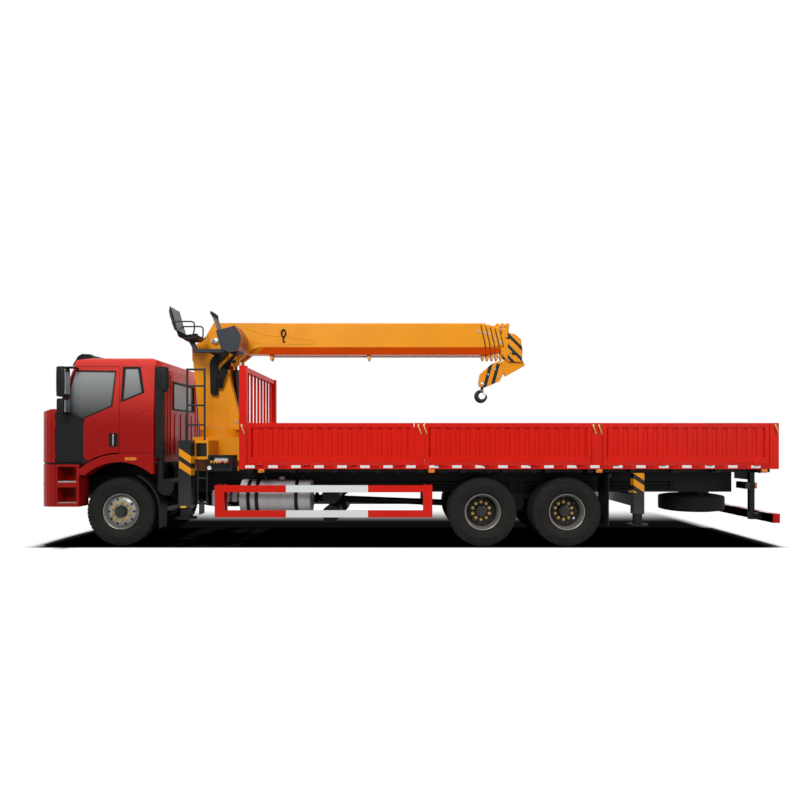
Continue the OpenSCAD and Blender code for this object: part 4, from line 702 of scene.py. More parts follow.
def addRepeater(mesh):
    outline = [(-4.500, 1.378), (-4.330, 1.378), (-4.322, 1.388), (-4.322, 1.418), (-4.330, 1.428),
               (-4.500, 1.428), (-4.508, 1.418), (-4.508, 1.388)]
    addPlate(mesh, outline, -1.237, -1.224)
    for k in range(5):
        addRod(mesh, (-4.485 + 0.036 * k, -1.237, 1.385), (-4.485 + 0.036 * k, -1.237, 1.421), 0.0035, 8)


sidePair(addRepeater, "repeater", "amberLens", wholeChassis, 2)


def addTreads(mesh):  # open steel treads on the two cab steps
    for z in (0.690, 1.030):
        for k in range(4):
            y = -1.222 + 0.035 * k
            addBox(mesh, (-5.585, y, z - 0.018), (-5.290, y + 0.010, z + 0.012))
            for j in range(14):
                addBox(mesh, (-5.580 + 0.0215 * j, y, z + 0.011), (-5.570 + 0.0215 * j, y + 0.010, z + 0.017))
        for x in (-5.585, -5.44, -5.300):
            addBox(mesh, (x, -1.222, z - 0.014), (x + 0.010, -1.107, z + 0.006))


sidePair(addTreads, "stepTreads", "zincPlate", wholeChassis)


# mirrors: rounded housings over their arms, glass towards the rear
def roundedBox(mesh, low, high, power=4.0, steps=10):  # swollen block with rounded ends
    def soft(v):
        return math.copysign(abs(v) ** (2 / power), v)
    middle = (Vector(low) + Vector(high)) / 2
    half = (Vector(high) - Vector(low)) / 2
    rings = []
    for i in range(1, steps):
        b = -math.pi / 2 + math.pi * i / steps
        wide, tall = soft(math.cos(b)), soft(math.sin(b))
        around = [(wide * soft(math.cos(a)), wide * soft(math.sin(a)), tall) for a in turns(24)]
        rings.append([middle + half * Vector(p) for p in around])
    addRing(mesh, rings)


def addHousings(mesh):
    roundedBox(mesh, (-5.497, -1.472, 2.382), (-5.358, -1.258, 2.866), 6)
    roundedBox(mesh, (-5.490, -1.470, 2.112), (-5.370, -1.268, 2.360), 6)
    addTube(mesh, ((-5.275, -1.19, 2.845), (-5.275, -1.31, 2.850), (-5.31, -1.330, 2.852),
                   (-5.40, -1.333, 2.850)), 0.019)
    addTube(mesh, ((-5.425, -1.33, 2.14), (-5.425, -1.28, 2.135), (-5.425, -1.215, 2.130)), 0.019)


def addMirrorGlass(mesh):
    for z0, z1 in ((2.425, 2.820), (2.140, 2.330)):
        addBox(mesh, (-5.363, -1.445, z0), (-5.355, -1.285, z1))


sidePair(addHousings, "mirrorHousing", "mouldedBlack", doors, 0, 45)
sidePair(addMirrorGlass, "mirrorFace", "mirrorGlass", doors, 1)
print("cab sides made")

# cab front, roof and rear wall
cabFront = {"grilleZ": (1.430, 2.060), "grilleY": 0.880, "slats": 6, "bow": 0.045, "corner": 0.285,
            "screen": (-5.680, 2.200), "screenSlope": 0.393, "screenBow": 0.043, "screenFlat": 1.105}


def frontX(y):  # the bowed front in plan
    flat = lorry["cabY"] - cabFront["corner"]
    if abs(y) <= flat:
        return lorry["front"] + cabFront["bow"] * (y / flat) ** 2
    reach = min(abs(y) - flat, cabFront["corner"])
    return (lorry["front"] + cabFront["bow"] + cabFront["corner"]
            - math.sqrt(max(cabFront["corner"] ** 2 - reach ** 2, 0.0)))


# a bar that follows the bow, from -reach to reach in Y
def addBowedBar(mesh, reach, z, height, out, back, steps=18):
    rings = []
    for k in range(steps + 1):
        y = -reach + 2 * reach * k / steps
        x = frontX(y)
        rings.append([Vector((x - out, y, z)), Vector((x + back, y, z)), Vector((x + back, y, z + height)),
                      Vector((x - out, y, z + height))])
    addRing(mesh, rings)


def addGrille(mesh):
    low, high = cabFront["grilleZ"]
    pitch = (high - low) / cabFront["slats"]
    for k in range(cabFront["slats"]):
        addBowedBar(mesh, cabFront["grilleY"] - 0.03, low + pitch * k + 0.012, pitch - 0.040, 0.006, 0.0)
    addBowedBar(mesh, cabFront["grilleY"], low - 0.012, 0.016, 0.008, 0.0)
    addBowedBar(mesh, cabFront["grilleY"], high - 0.008, 0.016, 0.008, 0.0)


buildPiece(addGrille, "frontGrille", "mouldedBlack", "cab", 3)


def addGrilleTrim(mesh):  # bright strips between the slats
    for z in (1.535, 1.745, 1.955):
        addBowedBar(mesh, cabFront["grilleY"] - 0.10, z, 0.012, 0.010, -0.005)


buildPiece(addGrilleTrim, "grilleTrim", "zincPlate", "cab", 2)


def screenPoint(y, z, out):  # a point standing off the leaning windscreen
    x0, z0 = cabFront["screen"]
    bow = cabFront["screenBow"] * (y / cabFront["screenFlat"]) ** 2
    return Vector((x0 + (z - z0) * cabFront["screenSlope"] + bow - out, y, z))


def addWipers(mesh):  # three wipers at rest, and the rubber round the windscreen
    for y in (-0.82, -0.10, 0.55):
        base = Vector((-5.735, y, 2.180))
        addRod(mesh, base, base + Vector((0, 0, 0.045)), 0.022, 14)
        tip = screenPoint(y + 0.30, 2.330, 0.028)
        addTube(mesh, (base + Vector((0, 0, 0.035)), screenPoint(y + 0.12, 2.262, 0.040), tip), 0.008, 8)
        addTube(mesh, (screenPoint(y - 0.06, 2.262, 0.012), screenPoint(y + 0.30, 2.325, 0.014),
                       screenPoint(y + 0.62, 2.395, 0.012)), 0.007, 6)
    corners = [(-1.050, 2.235), (1.050, 2.235), (1.010, 2.860), (-1.010, 2.860), (-1.050, 2.235)]
    for (y0, z0), (y1, z1) in zip(corners, corners[1:]):
        path = [screenPoint(y0 + (y1 - y0) * k / 8, z0 + (z1 - z0) * k / 8, 0.0) for k in range(9)]
        addTube(mesh, path, 0.013, 8, False)


buildPiece(addWipers, "wipers", "mouldedBlack", "cab")


def addLampUnits(mesh):  # reflector bowls behind each headlamp lens
    for sign in (-1, 1):
        for y in (0.760, 0.930):
            x = frontX(y) - 0.001
            bowl = [(0.066, 0.0), (0.066, -0.010), (0.056, -0.010), (0.046, 0.004), (0.002, 0.008),
                    (0.002, 0.012), (0.05, 0.010)]
            addLathe(mesh, bowl, (x, sign * y, 0.990), "X", 32)


buildPiece(addLampUnits, "headlampBezels", "chrome", "chassis", 0, 40)


def addBumperTrim(mesh):
    addBowedBar(mesh, 0.440, 0.925, 0.030, -0.012, 0.050)
    for z in (0.985, 1.045, 1.105, 1.165, 1.215):
        addBowedBar(mesh, 0.440, z, 0.018, -0.012, 0.050)
    for k in range(7):
        y = -0.48 + 0.16 * k
        addBox(mesh, (frontX(y) + 0.015, y - 0.008, 0.70), (frontX(y) + 0.050, y + 0.008, 0.835))
    for z in (0.715, 0.765, 0.815):
        addBowedBar(mesh, 0.555, z, 0.012, -0.018, 0.045)


buildPiece(addBumperTrim, "bumperGrille", "mouldedBlack", "chassis", 2)


def addFogLamps(mesh):
    for sign in (-1, 1):
        addLathe(mesh, [(0.055, -0.008), (0.055, 0.03), (0.002, 0.03), (0.002, -0.014), (0.04, -0.011)],
                 (frontX(0.72), sign * 0.72, 0.765), "X", 28)


buildPiece(addFogLamps, "fogLamps", "clearLens", "chassis", 0, 40)


def addSlit(mesh):  # dark joint between bumper and step box
    addBox(mesh, (-5.640, -1.2235, 0.650), (-5.612, -1.12, 1.310))


sidePair(addSlit, "bumperJoint", "mouldedBlack", wholeChassis)


def addCabSeal(mesh):  # dark joint under the cab, round its front
    addBowedBar(mesh, 1.19, 1.3125, 0.0255, -0.012, 0.110, 30)
    for sign in (-1, 1):
        addBox(mesh, (-5.72, sign * 1.175 - 0.025, 1.3125), (-5.02, sign * 1.175 + 0.025, 1.338))


buildPiece(addCabSeal, "cabSeal", "mouldedBlack", "chassis")


# rear wall: tall pressed ribs beside the window, short wide ones under it
rearRibs = (((-0.93, -0.80, -0.67, 0.67, 0.80, 0.93), 0.040, 0.022, 2.80),
            ((-0.45, -0.15, 0.15, 0.45), 0.050, 0.030, 2.16))


def addRearWall(mesh):
    back = lorry["cabBack"]
    for places, foot, crown, top in rearRibs:
        for y in places:
            outline = [(back - 0.003, y - foot), (back + 0.012, y - crown), (back + 0.012, y + crown),
                       (back - 0.003, y + foot)]
            addPlate(mesh, outline, 1.46, top, "Z")


def addRearSeal(mesh):
    corners = ((-0.55, 2.23), (0.55, 2.23), (0.55, 2.69), (-0.55, 2.69), (-0.55, 2.23))
    for a, b in zip(corners, corners[1:]):
        addRod(mesh, (-3.966, *a), (-3.966, *b), 0.016, 10)


buildPiece(addRearWall, "rearRibs", "enamelRed", "cab", 4)
buildPiece(addRearSeal, "rearWindowSeal", "mouldedBlack", "cab")


def addRoofRibs(mesh):
    for y in (-0.80, -0.48, -0.16, 0.16, 0.48, 0.80):
        outline = [(y - 0.05, 3.024), (y - 0.025, 3.037), (y + 0.025, 3.037), (y + 0.05, 3.024)]
        addPlate(mesh, outline, -5.02, -4.20, "X")


def addRoofLamps(mesh):
    for y in (-0.86, -0.43, 0.43, 0.86):
        roundedBox(mesh, (-5.290, y - 0.075, 3.085), (-5.190, y + 0.075, 3.122), 5)


def addVisorRibs(mesh):
    outline = [(-5.464, 2.926), (-5.374, 3.076), (-5.307, 3.114), (-5.175, 3.106), (-5.175, 3.095),
               (-5.30, 3.100), (-5.362, 3.064), (-5.452, 2.916)]
    for y in (-0.98, -0.65, -0.22, 0.22, 0.65, 0.98):
        addPlate(mesh, outline, y - 0.010, y + 0.010)


buildPiece(addRoofRibs, "roofRibs", "enamelRed", "cab", 5)
buildPiece(addRoofLamps, "roofLamps", "clearLens", "cab", 0, 50)
buildPiece(addVisorRibs, "visorRibs", "mouldedBlack", "cab", 2)


# air intake: swollen head with louvres over the pipe, ribbed bellows at its foot and bands up the pipe
intake = {"head": ((-4.034, -1.258, 2.470), (-3.826, -1.128, 2.882)),
          "bellows": (-4.016, -3.884, -1.255, -1.144), "bellowsZ": [1.432 + 0.018 * k for k in range(9)],
          "band": (-4.014, -3.886, -1.254, -1.146), "bandZ": (1.66, 2.02, 2.36), "louvres": 6}


def addIntake(mesh):
    roundedBox(mesh, *intake["head"], 5)
    for part, height in (("bellows", 0.009), ("band", 0.022)):
        x0, x1, y0, y1 = intake[part]
        for z in intake[part + "Z"]:
            addBox(mesh, (x0, y0, z), (x1, y1, z + height))
    for k in range(intake["louvres"]):
        addBox(mesh, (-3.832, -1.235, 2.55 + 0.045 * k), (-3.822, -1.150, 2.575 + 0.045 * k))


buildPiece(addIntake, "airIntake", "mouldedBlack", "cab", 4)
print("cab front and roof made")

# load bed: reflective tape, marker lamps, latch handles on the posts, rope hooks under the rail
bed = {"tapeZ": (1.256, 1.300), "tapeL": 0.300, "tapePitch": 0.367, "hookPitch": 0.72, "tailTapes": 6,
       "latchX": (0.2015, 0.2915, 2.9915, 3.0815, -2.615, 5.895), "markers": (0.035, 0.35, 0.66, 0.965),
       "markerRun": 8.647}


def addTape(mesh, colour):  # each length is half white, half red, along the rail and across the tail
    half = bed["tapeL"] / 2
    (start, end), (low, high), y = lorry["bedX"], bed["tapeZ"], -lorry["bedY"]
    shift = half if colour == "red" else 0.0
    x = start + 0.10
    while x + bed["tapeL"] < end:
        addBox(mesh, (x + shift, y - 0.0015, low), (x + shift + half, y + 0.002, high))
        x += bed["tapePitch"]
    for k in range(bed["tailTapes"]):
        y = -1.05 + 0.38 * k + (0.075 if colour == "red" else 0.0)
        addBox(mesh, (end - 0.002, y, low), (end + 0.0015, y + 0.075, high))


sidePair(lambda m: addTape(m, "white"), "tapeWhite", "tapeWhite", wholeChassis)
sidePair(lambda m: addTape(m, "red"), "tapeRed", "tapeRed", wholeChassis)


def addRopeHooks(mesh):
    x = lorry["bedX"][0] + 0.36
    while x < lorry["bedX"][1] - 0.2:
        addTube(mesh, ((x, -1.236, 1.245), (x, -1.242, 1.205), (x + 0.03, -1.243, 1.180),
                       (x + 0.06, -1.242, 1.205), (x + 0.06, -1.240, 1.222)), 0.007, 8)
        x += bed["hookPitch"]


sidePair(addRopeHooks, "ropeHooks", "chassisPaint", wholeChassis)


def addLatches(mesh):  # over-centre levers in their keepers at the top of the posts
    for x in bed["latchX"]:
        addBox(mesh, (x - 0.030, -1.258, 1.915), (x - 0.006, -1.248, 1.955))
        addTube(mesh, ((x - 0.024, -1.262, 1.948), (x - 0.010, -1.276, 1.905), (x + 0.012, -1.276, 1.850),
                       (x + 0.030, -1.266, 1.800)), 0.011, 10)
        addRod(mesh, (x - 0.034, -1.262, 1.938), (x + 0.002, -1.262, 1.938), 0.010, 10)
        addBolt(mesh, (x + 0.018, -1.250, 1.812), (0, -1, 0), 0.010, 0.012)


sidePair(addLatches, "latches", "yellowZinc", wholeChassis, 1)


def addMarkers(mesh):  # amber markers below the bed
    for share in bed["markers"]:
        x = lorry["bedX"][0] + share * bed["markerRun"]
        roundedBox(mesh, (x - 0.004, -1.246, 1.178), (x + 0.099, -1.190, 1.244), 6)


sidePair(addMarkers, "markerLamps", "amberLens", wholeChassis, 0, 50)


# rear end: tail lamps in three colours, bands of the underrun bar, plate carrier left blank
tail = {"lampY": -0.900, "amberLens": (0.0, 0.10), "redLens": (0.11, 0.24), "clearLens": (0.25, 0.33),
        "barX": (5.856, 5.967), "barZ": (0.377, 0.523),
        "red": ((-1.234, -1.05), (-0.72, -0.50), (-0.18, 0.0)), "white": ((-1.05, -0.72), (-0.50, -0.18))}


def addTailLamps(mesh, lens):
    x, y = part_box("lamps")[1].x, tail["lampY"]
    low, high = tail[lens]
    roundedBox(mesh, (x - 0.02, y + low, 0.905), (x + 0.012, y + high, 1.005), 7)


def addBarBands(mesh, colour):
    (x0, x1), (z0, z1) = tail["barX"], tail["barZ"]
    for y0, y1 in tail[colour]:
        addBox(mesh, (x0, y0, z0), (x1, y1, z1))


def addPlateCarrier(mesh):
    addBox(mesh, (5.945, -0.26, 1.02), (5.952, 0.26, 1.17))
    for y in (-0.22, 0.17):
        addBox(mesh, (5.90, y, 1.14), (5.948, y + 0.05, 1.19))


for lens in ("amberLens", "redLens", "clearLens"):
    sidePair(lambda m: addTailLamps(m, lens), "tailLamp" + lens.capitalize(), lens, wholeChassis,
             0, 50)
for colour in ("red", "white"):
    sidePair(lambda m: addBarBands(m, colour), "underrun" + colour.capitalize(), "tape" + colour.capitalize(),
             wholeChassis)
buildPiece(addPlateCarrier, "plateCarrier", "mouldedBlack", "chassis", 3)
print("load bed dressed")


# underbody: propeller shafts on their joints, hoses at the cab and the pump, air dryer, apron, air lines
under = {"shaftR": 0.055, "flangeR": 0.090, "hoseR": 0.024, "flangeBolts": 8, "boltCircle": 0.074,
         "shafts": (((-4.20, 0.800), (-1.60, 0.690)), ((-1.60, 0.690), (0.915, 0.590)),
                    ((1.470, 0.585), (2.265, 0.575)))}


def addShafts(mesh):  # tubes with a flange, a yoke and a boot at each end
    for (x0, z0), (x1, z1) in under["shafts"]:
        start, end = Vector((x0, 0, z0)), Vector((x1, 0, z1))
        run = (end - start).normalized()
        addRod(mesh, start + run * 0.10, end - run * 0.10, under["shaftR"], 28)
        for foot, along in ((start, run), (end, -run)):
            boot = [(0.0, under["flangeR"]), (0.022, under["flangeR"]), (0.024, 0.058), (0.060, 0.050),
                    (0.085, 0.066), (0.115, 0.062), (0.140, under["shaftR"])]
            addTurned(mesh, foot, along, boot, 28)
            flange = foot + along * 0.022
            for at in circle(flange, *sideAxes(along), under["boltCircle"], under["flangeBolts"]):
                addBolt(mesh, at, along, 0.014, 0.010)


def addCabHoses(mesh):  # loop of hoses and wiring that follows the cab's tilt, behind the cab
    for k in range(6):
        y = -0.66 + 0.052 * k
        addTube(mesh, [(-3.885 - 0.010 * k, y, 1.075), (-3.895 - 0.012 * k, y, 1.200),
                       (-3.935, y - 0.01, 1.290), (-3.995, y, 1.270), (-4.025, y, 1.180),
                       (-4.030, y, 1.080)], under["hoseR"], 10)


def addPumpHoses(mesh):  # slack pressure hoses between the crane's pump and its base
    for k in range(7):
        y = -0.33 + 0.085 * k
        low = 0.600 + 0.035 * (k % 3)
        addTube(mesh, [(-2.94 - 0.02 * k, y, 0.870), (-2.98 - 0.02 * k, y, 0.740), (-3.12, y, low),
                       (-3.34, y, low - 0.012), (-3.54, y, low + 0.03), (-3.66 + 0.01 * k, y, 0.760),
                       (-3.68 + 0.01 * k, y, 0.870)], 0.021, 10)


def addDryer(mesh):  # air dryer cartridge and two filters hung under the rail beside the ladder
    for x, y, low, top, r in ((-3.235, -0.560, 0.590, 0.850, 0.072), (-3.055, -0.545, 0.650, 0.850, 0.052),
                              (-2.925, -0.545, 0.650, 0.850, 0.052)):
        can = [(0.0, low), (r * 0.6, low), (r * 0.92, low + 0.012), (r, low + 0.035), (r, top - 0.075),
               (r * 1.08, top - 0.070), (r * 1.08, top - 0.050), (r * 0.85, top - 0.045), (r * 0.85, top),
               (0.0, top)]
        addLathe(mesh, can, (x, y, 0), "Z", 32)
        addBox(mesh, (x - 0.03, y, top - 0.04), (x + 0.03, -0.428, top + 0.02))


def addApron(mesh):  # rubber sheet hung under the cab's back wall, its lower edge swaying a little
    section = ((0.0, 1.346, 0), (0.006, 1.346, 0), (0.006, 1.215, 1), (0.0, 1.215, 1))
    rows = []
    for k in range(25):
        y = -0.96 + 0.08 * k
        sway = 0.004 * math.sin(2.1 * k)
        rows.append([Vector((-3.992 + x + s * sway, y, z)) for x, z, s in section])
    addRing(mesh, rows)


def addAirLines(mesh):  # brake lines clipped along the rail
    for side in (-1, 1):
        for k, z in enumerate((0.88, 0.93, 0.985)):
            y = side * (0.447 + 0.004 * k)
            run = ((-3.60, 0.0), (-2.0, 0.004), (-0.3, 0.0), (1.0, 0.006), (2.6, 0.0), (4.6, 0.0))
            addTube(mesh, [(x, y, z + rise) for x, rise in run], 0.010, 8)
        for x in (-2.9, -1.4, 0.1, 1.9, 3.3, 4.5):
            addBox(mesh, (x, side * 0.446 - 0.016, 0.86), (x + 0.03, side * 0.446 + 0.016, 1.00))


for maker, name, finishName, slot in ((addShafts, "propShafts", "chassisPaint", "dark_paint"),
                                      (addCabHoses, "cabHoses", "hoseRubber", "black_plastic"),
                                      (addPumpHoses, "pumpHoses", "hoseRubber", "black_plastic"),
                                      (addDryer, "airDryer", "tankSheet", "steel"),
                                      (addApron, "cabApron", "hoseRubber", "black_plastic"),
                                      (addAirLines, "airLines", "hoseRubber", "black_plastic")):
    buildPiece(maker, name, finishName, "cab" if name == "cabApron" else "chassis", smoothDeg=40)

# bedside controls: blank plate in the recess, gauge, ball knobs on the seven levers
bedside = {"x": (-3.210, -2.820), "faceY": -1.120, "recessY": -1.080, "leverY": -1.140, "leverTop": 1.350,
           "levers": 7, "knobR": 0.019, "plate": ((-3.115, 1.340), (-2.895, 1.418)),
           "gauge": (-3.186, 1.255, 0.034)}


def addBlankPlate(mesh):
    (x0, z0), (x1, z1) = bedside["plate"]
    addBox(mesh, (x0, bedside["recessY"] - 0.005, z0), (x1, bedside["recessY"] + 0.002, z1))
    for x in (x0 + 0.012, x1 - 0.012):
        for z in (z0 + 0.012, z1 - 0.012):
            addBolt(mesh, (x, bedside["recessY"] - 0.005, z), (0, -1, 0), 0.007, 0.004)


def addGauge(mesh):
    x, z, r = bedside["gauge"]
    face = bedside["faceY"]
    case = [(0.0, face + 0.004), (r, face + 0.004), (r, face - 0.016), (r - 0.005, face - 0.018),
            (r - 0.007, face - 0.010), (0.0, face - 0.010)]
    addLathe(mesh, case, (x, 0, z), "Y", 32)


def addKnobs(mesh, picks):
    r = bedside["knobR"]
    arc = [math.pi * (0.2 + 0.08 * i) for i in range(11)]
    ball = [(r * math.sin(a), 0.004 - r * math.cos(a)) for a in arc]
    for k in picks:
        x = bedside["x"][0] + 0.06 + (bedside["x"][1] - bedside["x"][0] - 0.12) * k / (bedside["levers"] - 1)
        at = (x, bedside["leverY"], bedside["leverTop"])
        addLathe(mesh, [(0.0, -0.020), (0.012, -0.020)] + ball, at, "Z", 20)


def addYellowKnobs(mesh):
    addKnobs(mesh, (0, 1, 2, 3, 5))


def addRedKnobs(mesh):
    addKnobs(mesh, (4, 6))


for maker, name, finishName, slot in ((addBlankPlate, "controlPlate", "tankSheet", "steel"),
                                      (addGauge, "controlGauge", "tapeWhite", "steel"),
                                      (addYellowKnobs, "leverKnobs", "enamelYellow", "yellow_paint"),
                                      (addRedKnobs, "leverKnobsRed", "tapeRed", "red_paint")):
    buildPiece(maker, name, finishName, "chassis", smoothDeg=40)
print("underbody and controls dressed")


# operator's seat: moulded shell, two leatherette pads with sewn channels, bent tube armrests
seat = {"at": (-3.640, 3.395), "y": -0.700, "width": 0.46, "padThick": 0.078, "channels": 4,
        "shell": ((0.20, 0.03), (0.0, 0.004), (-0.115, 0.018), (-0.163, 0.088), (-0.283, 0.505)),
        "cushion": ((0.190, 0.045), (-0.075, 0.035)), "back": ((-0.134, 0.115), (-0.248, 0.508))}


def addShell(mesh):  # a bent sheet with a rolled rim, drawn out across the seat
    x0, z0 = seat["at"]
    path = smoothPath([Vector((x0 + x, seat["y"], z0 + z)) for x, z in seat["shell"]], 5)
    rings = []
    for i, point in enumerate(path):
        along = (path[min(i + 1, len(path) - 1)] - path[max(i - 1, 0)]).normalized()
        up = Vector((along.z, 0, -along.x))
        half = seat["width"] / 2
        row = []
        for k in range(13):
            t = -1 + k / 6
            row.append(point + Vector((0, half * t, 0)) + up * (0.035 * abs(t) ** 4))
        rings.append(row + [p - up * 0.008 for p in reversed(row)])
    addRing(mesh, rings)


def addPad(mesh, ends):  # crowned pad between two points of the side view, sewn in channels
    x0, z0 = seat["at"]
    a, b = (Vector((x0 + x, seat["y"], z0 + z)) for x, z in ends)
    along = (b - a).normalized()
    up = Vector((-along.z, 0, along.x))
    rows, columns = 28, 20
    across = [-1 + 2 * k / columns for k in range(columns + 1)]
    rings = []
    for i in range(rows + 1):
        u = i / rows
        edge = (1 - abs(2 * u - 1) ** 5) ** 0.5
        half = seat["width"] / 2 - 0.025 - 0.012 * (1 - abs(2 * u - 1) ** 2)
        base = [a + (b - a) * u + Vector((0, v * half, 0)) for v in across]
        row = []
        for point, v in zip(base, across):
            rim = (1 - abs(v) ** 5) ** 0.5
            seam = 0.006 * abs(math.cos(math.pi * u * seat["channels"])) ** 14 * (1 - abs(v) ** 8)
            height = seat["padThick"] * edge * rim - seam * edge
            row.append(point + up * (0.006 + max(height, 0.0)))
        rings.append(row + [point + up * 0.002 for point in reversed(base)])
    addRing(mesh, rings)


def addArmrests(mesh):
    x0, z0 = seat["at"]
    for side in (-1, 1):
        y = seat["y"] + side * (seat["width"] / 2 + 0.010)
        addTube(mesh, [(x0 - 0.185, y, z0 + 0.255), (x0 - 0.08, y, z0 + 0.255), (x0 + 0.10, y, z0 + 0.255),
                       (x0 + 0.146, y, z0 + 0.232), (x0 + 0.152, y, z0 + 0.19), (x0 + 0.150, y, z0 + 0.11),
                       (x0 + 0.130, y, z0 + 0.045), (x0 + 0.09, y - side * 0.02, z0 + 0.030)], 0.0125, 12)
        addRod(mesh, (x0 - 0.20, y - side * 0.03, z0 + 0.255), (x0 - 0.20, y + side * 0.012, z0 + 0.255),
               0.018)


def addSeatIron(mesh):  # slide rails under the shell and their bolts
    x0, z0 = seat["at"]
    for side in (-1, 1):
        y = seat["y"] + side * 0.13
        addBox(mesh, (x0 - 0.06, y - 0.012, z0 - 0.012), (x0 + 0.17, y + 0.012, z0 + 0.010))
        for x in (-0.03, 0.14):
            addBolt(mesh, (x0 + x, y, z0 - 0.012), (0, 0, -1), 0.018, 0.008)


seatShell = buildPiece(addShell, "seatShell", "mouldedBlack", "column", smoothDeg=50)
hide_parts("operator_seat")
for padName, ends in (("seatCushion", seat["cushion"]), ("seatBack", seat["back"])):
    pad = buildPiece(lambda m: addPad(m, ends), padName, "leatherette", "column",
                     smoothDeg=60)
buildPiece(addArmrests, "seatArmrests", "tubeGrey", "column", smoothDeg=50)
buildPiece(addSeatIron, "seatIron", "zincPlate", "column", 1)

# console: curved rear wall in painted shade, lever boots and grips, hose bundle under it
console = {"y": (-0.930, -0.480), "at": (-3.270, 1.830), "levers": 5,
           "wall": ((0.370, 1.312), (0.510, 1.347), (0.542, 1.430), (0.562, 1.552), (0.515, 1.660),
                    (0.442, 1.759)),
           "leverFoot": (0.165, 1.640), "leverLean": 20}


def addConsoleWall(mesh):
    x0, z0 = console["at"]
    outer = [(x0 + x + 0.008, z0 + z + 0.002) for x, z in console["wall"]]
    inner = [(x0 + x - 0.012, z0 + z - 0.001) for x, z in reversed(console["wall"])]
    addPlate(mesh, outer + inner, console["y"][0] - 0.006, console["y"][1] + 0.006)
    for k in range(1, 4):
        y = console["y"][0] + (console["y"][1] - console["y"][0]) * k / 4
        for (x, z), (u, w) in zip(console["wall"], console["wall"][1:]):
            addRod(mesh, (x0 + x + 0.009, y, z0 + z), (x0 + u + 0.009, y, z0 + w), 0.004, 6)


def addGrips(mesh):  # rubber boots and waisted grips on the five levers
    (x0, z0), (footX, footZ) = console["at"], console["leverFoot"]
    lean = math.radians(console["leverLean"])
    along = Vector((-math.sin(lean), 0, math.cos(lean)))
    for k in range(console["levers"]):
        foot = Vector((x0 + footX, console["y"][0] + 0.070 + k * 0.078, z0 + footZ))
        addTurned(mesh, foot, along, [(0.0, 0.026), (0.018, 0.024), (0.022, 0.020), (0.040, 0.016),
                                      (0.060, 0.012)])
        addTurned(mesh, foot, along, [(0.296, 0.011), (0.300, 0.015), (0.325, 0.013), (0.345, 0.0225),
                                      (0.362, 0.0235), (0.384, 0.016), (0.388, 0.004)])


def addConsoleHoses(mesh):  # bundle from the console's underside into the guard on the column
    x0, z0 = console["at"]
    for k in range(8):
        y = -0.87 + 0.052 * k
        end = -0.372 + 0.004 * k
        spread = 0.016 * k
        addTube(mesh, [(x0 + 0.46 - spread, y, z0 + 1.345), (x0 + 0.43 - spread, y, z0 + 1.290),
                       (x0 + 0.32 - spread, 0.6 * y + 0.4 * end, z0 + 1.225),
                       (x0 + 0.19 - spread, end, z0 + 1.130), (x0 + 0.11 - spread, end, z0 + 0.960),
                       (x0 + 0.06 - 0.6 * spread, -0.330, z0 + 0.780)], 0.022, 12)


for maker, name, finishName, slot in ((addConsoleWall, "consoleWall", "consolePaintedShade", "yellow_paint"),
                                      (addGrips, "leverGrips", "mouldedBlack", "black_plastic"),
                                      (addConsoleHoses, "consoleHoses", "hoseRubber", "black_plastic")):
    buildPiece(maker, name, finishName, "column", smoothDeg=40)

# column: ring of bolts, pin caps with keeper plates, weld beads along the cheeks
column = {"boltCircle": 0.362, "bolts": 24, "ringZ": 1.920, "cheekY": 0.270}


def addRingBolts(mesh):
    middle = Vector((lorry["slewX"], 0, column["ringZ"]))
    for at in circle(middle, Vector((1, 0, 0)), Vector((0, 1, 0)), column["boltCircle"], column["bolts"]):
        if abs(at.y) > column["cheekY"] + 0.02:
            addBolt(mesh, at, (0, 0, 1), 0.026, 0.018)


def addPinCaps(mesh):
    for side in (-1, 1):
        for (x, z), radius, reach in ((lorry["pivot"], 0.052, 0.295), (lorry["cylinderFoot"], 0.030, 0.271)):
            cap = ((0.0, 0.0), (1.0, 0.0), (1.0, 0.006), (0.8, 0.012), (0.0, 0.012))
            addLathe(mesh, [(radius * r, side * (reach + t)) for r, t in cap], (x, 0, z), "Y", 32)
        x, z = lorry["pivot"]
        addBox(mesh, (x - 0.075, side * 0.286 - 0.014, z - 0.030),
               (x - 0.045, side * 0.286 + 0.014, z + 0.030))
        for dz in (-0.02, 0.02):
            addBolt(mesh, (x - 0.06, side * 0.300, z + dz), (0, side, 0), 0.014, 0.008)


def addBeads(mesh):  # weld beads where the cheeks meet the ring plate
    for side in (-1, 1):
        y = side * (column["cheekY"] + 0.002)
        path = [(lorry["slewX"] + x, y, column["ringZ"] + 0.002) for x in (-0.28, -0.1, 0.1, 0.26)]
        addTube(mesh, path, 0.006, 8)


for maker, name, finishName, slot in ((addRingBolts, "slewBolts", "zincPlate", "steel"),
                                      (addPinCaps, "pinCaps", "zincPlate", "steel"),
                                      (addBeads, "columnBeads", "enamelYellow", "yellow_paint")):
    buildPiece(maker, name, finishName, "column", smoothDeg=35)
print("column dressed")


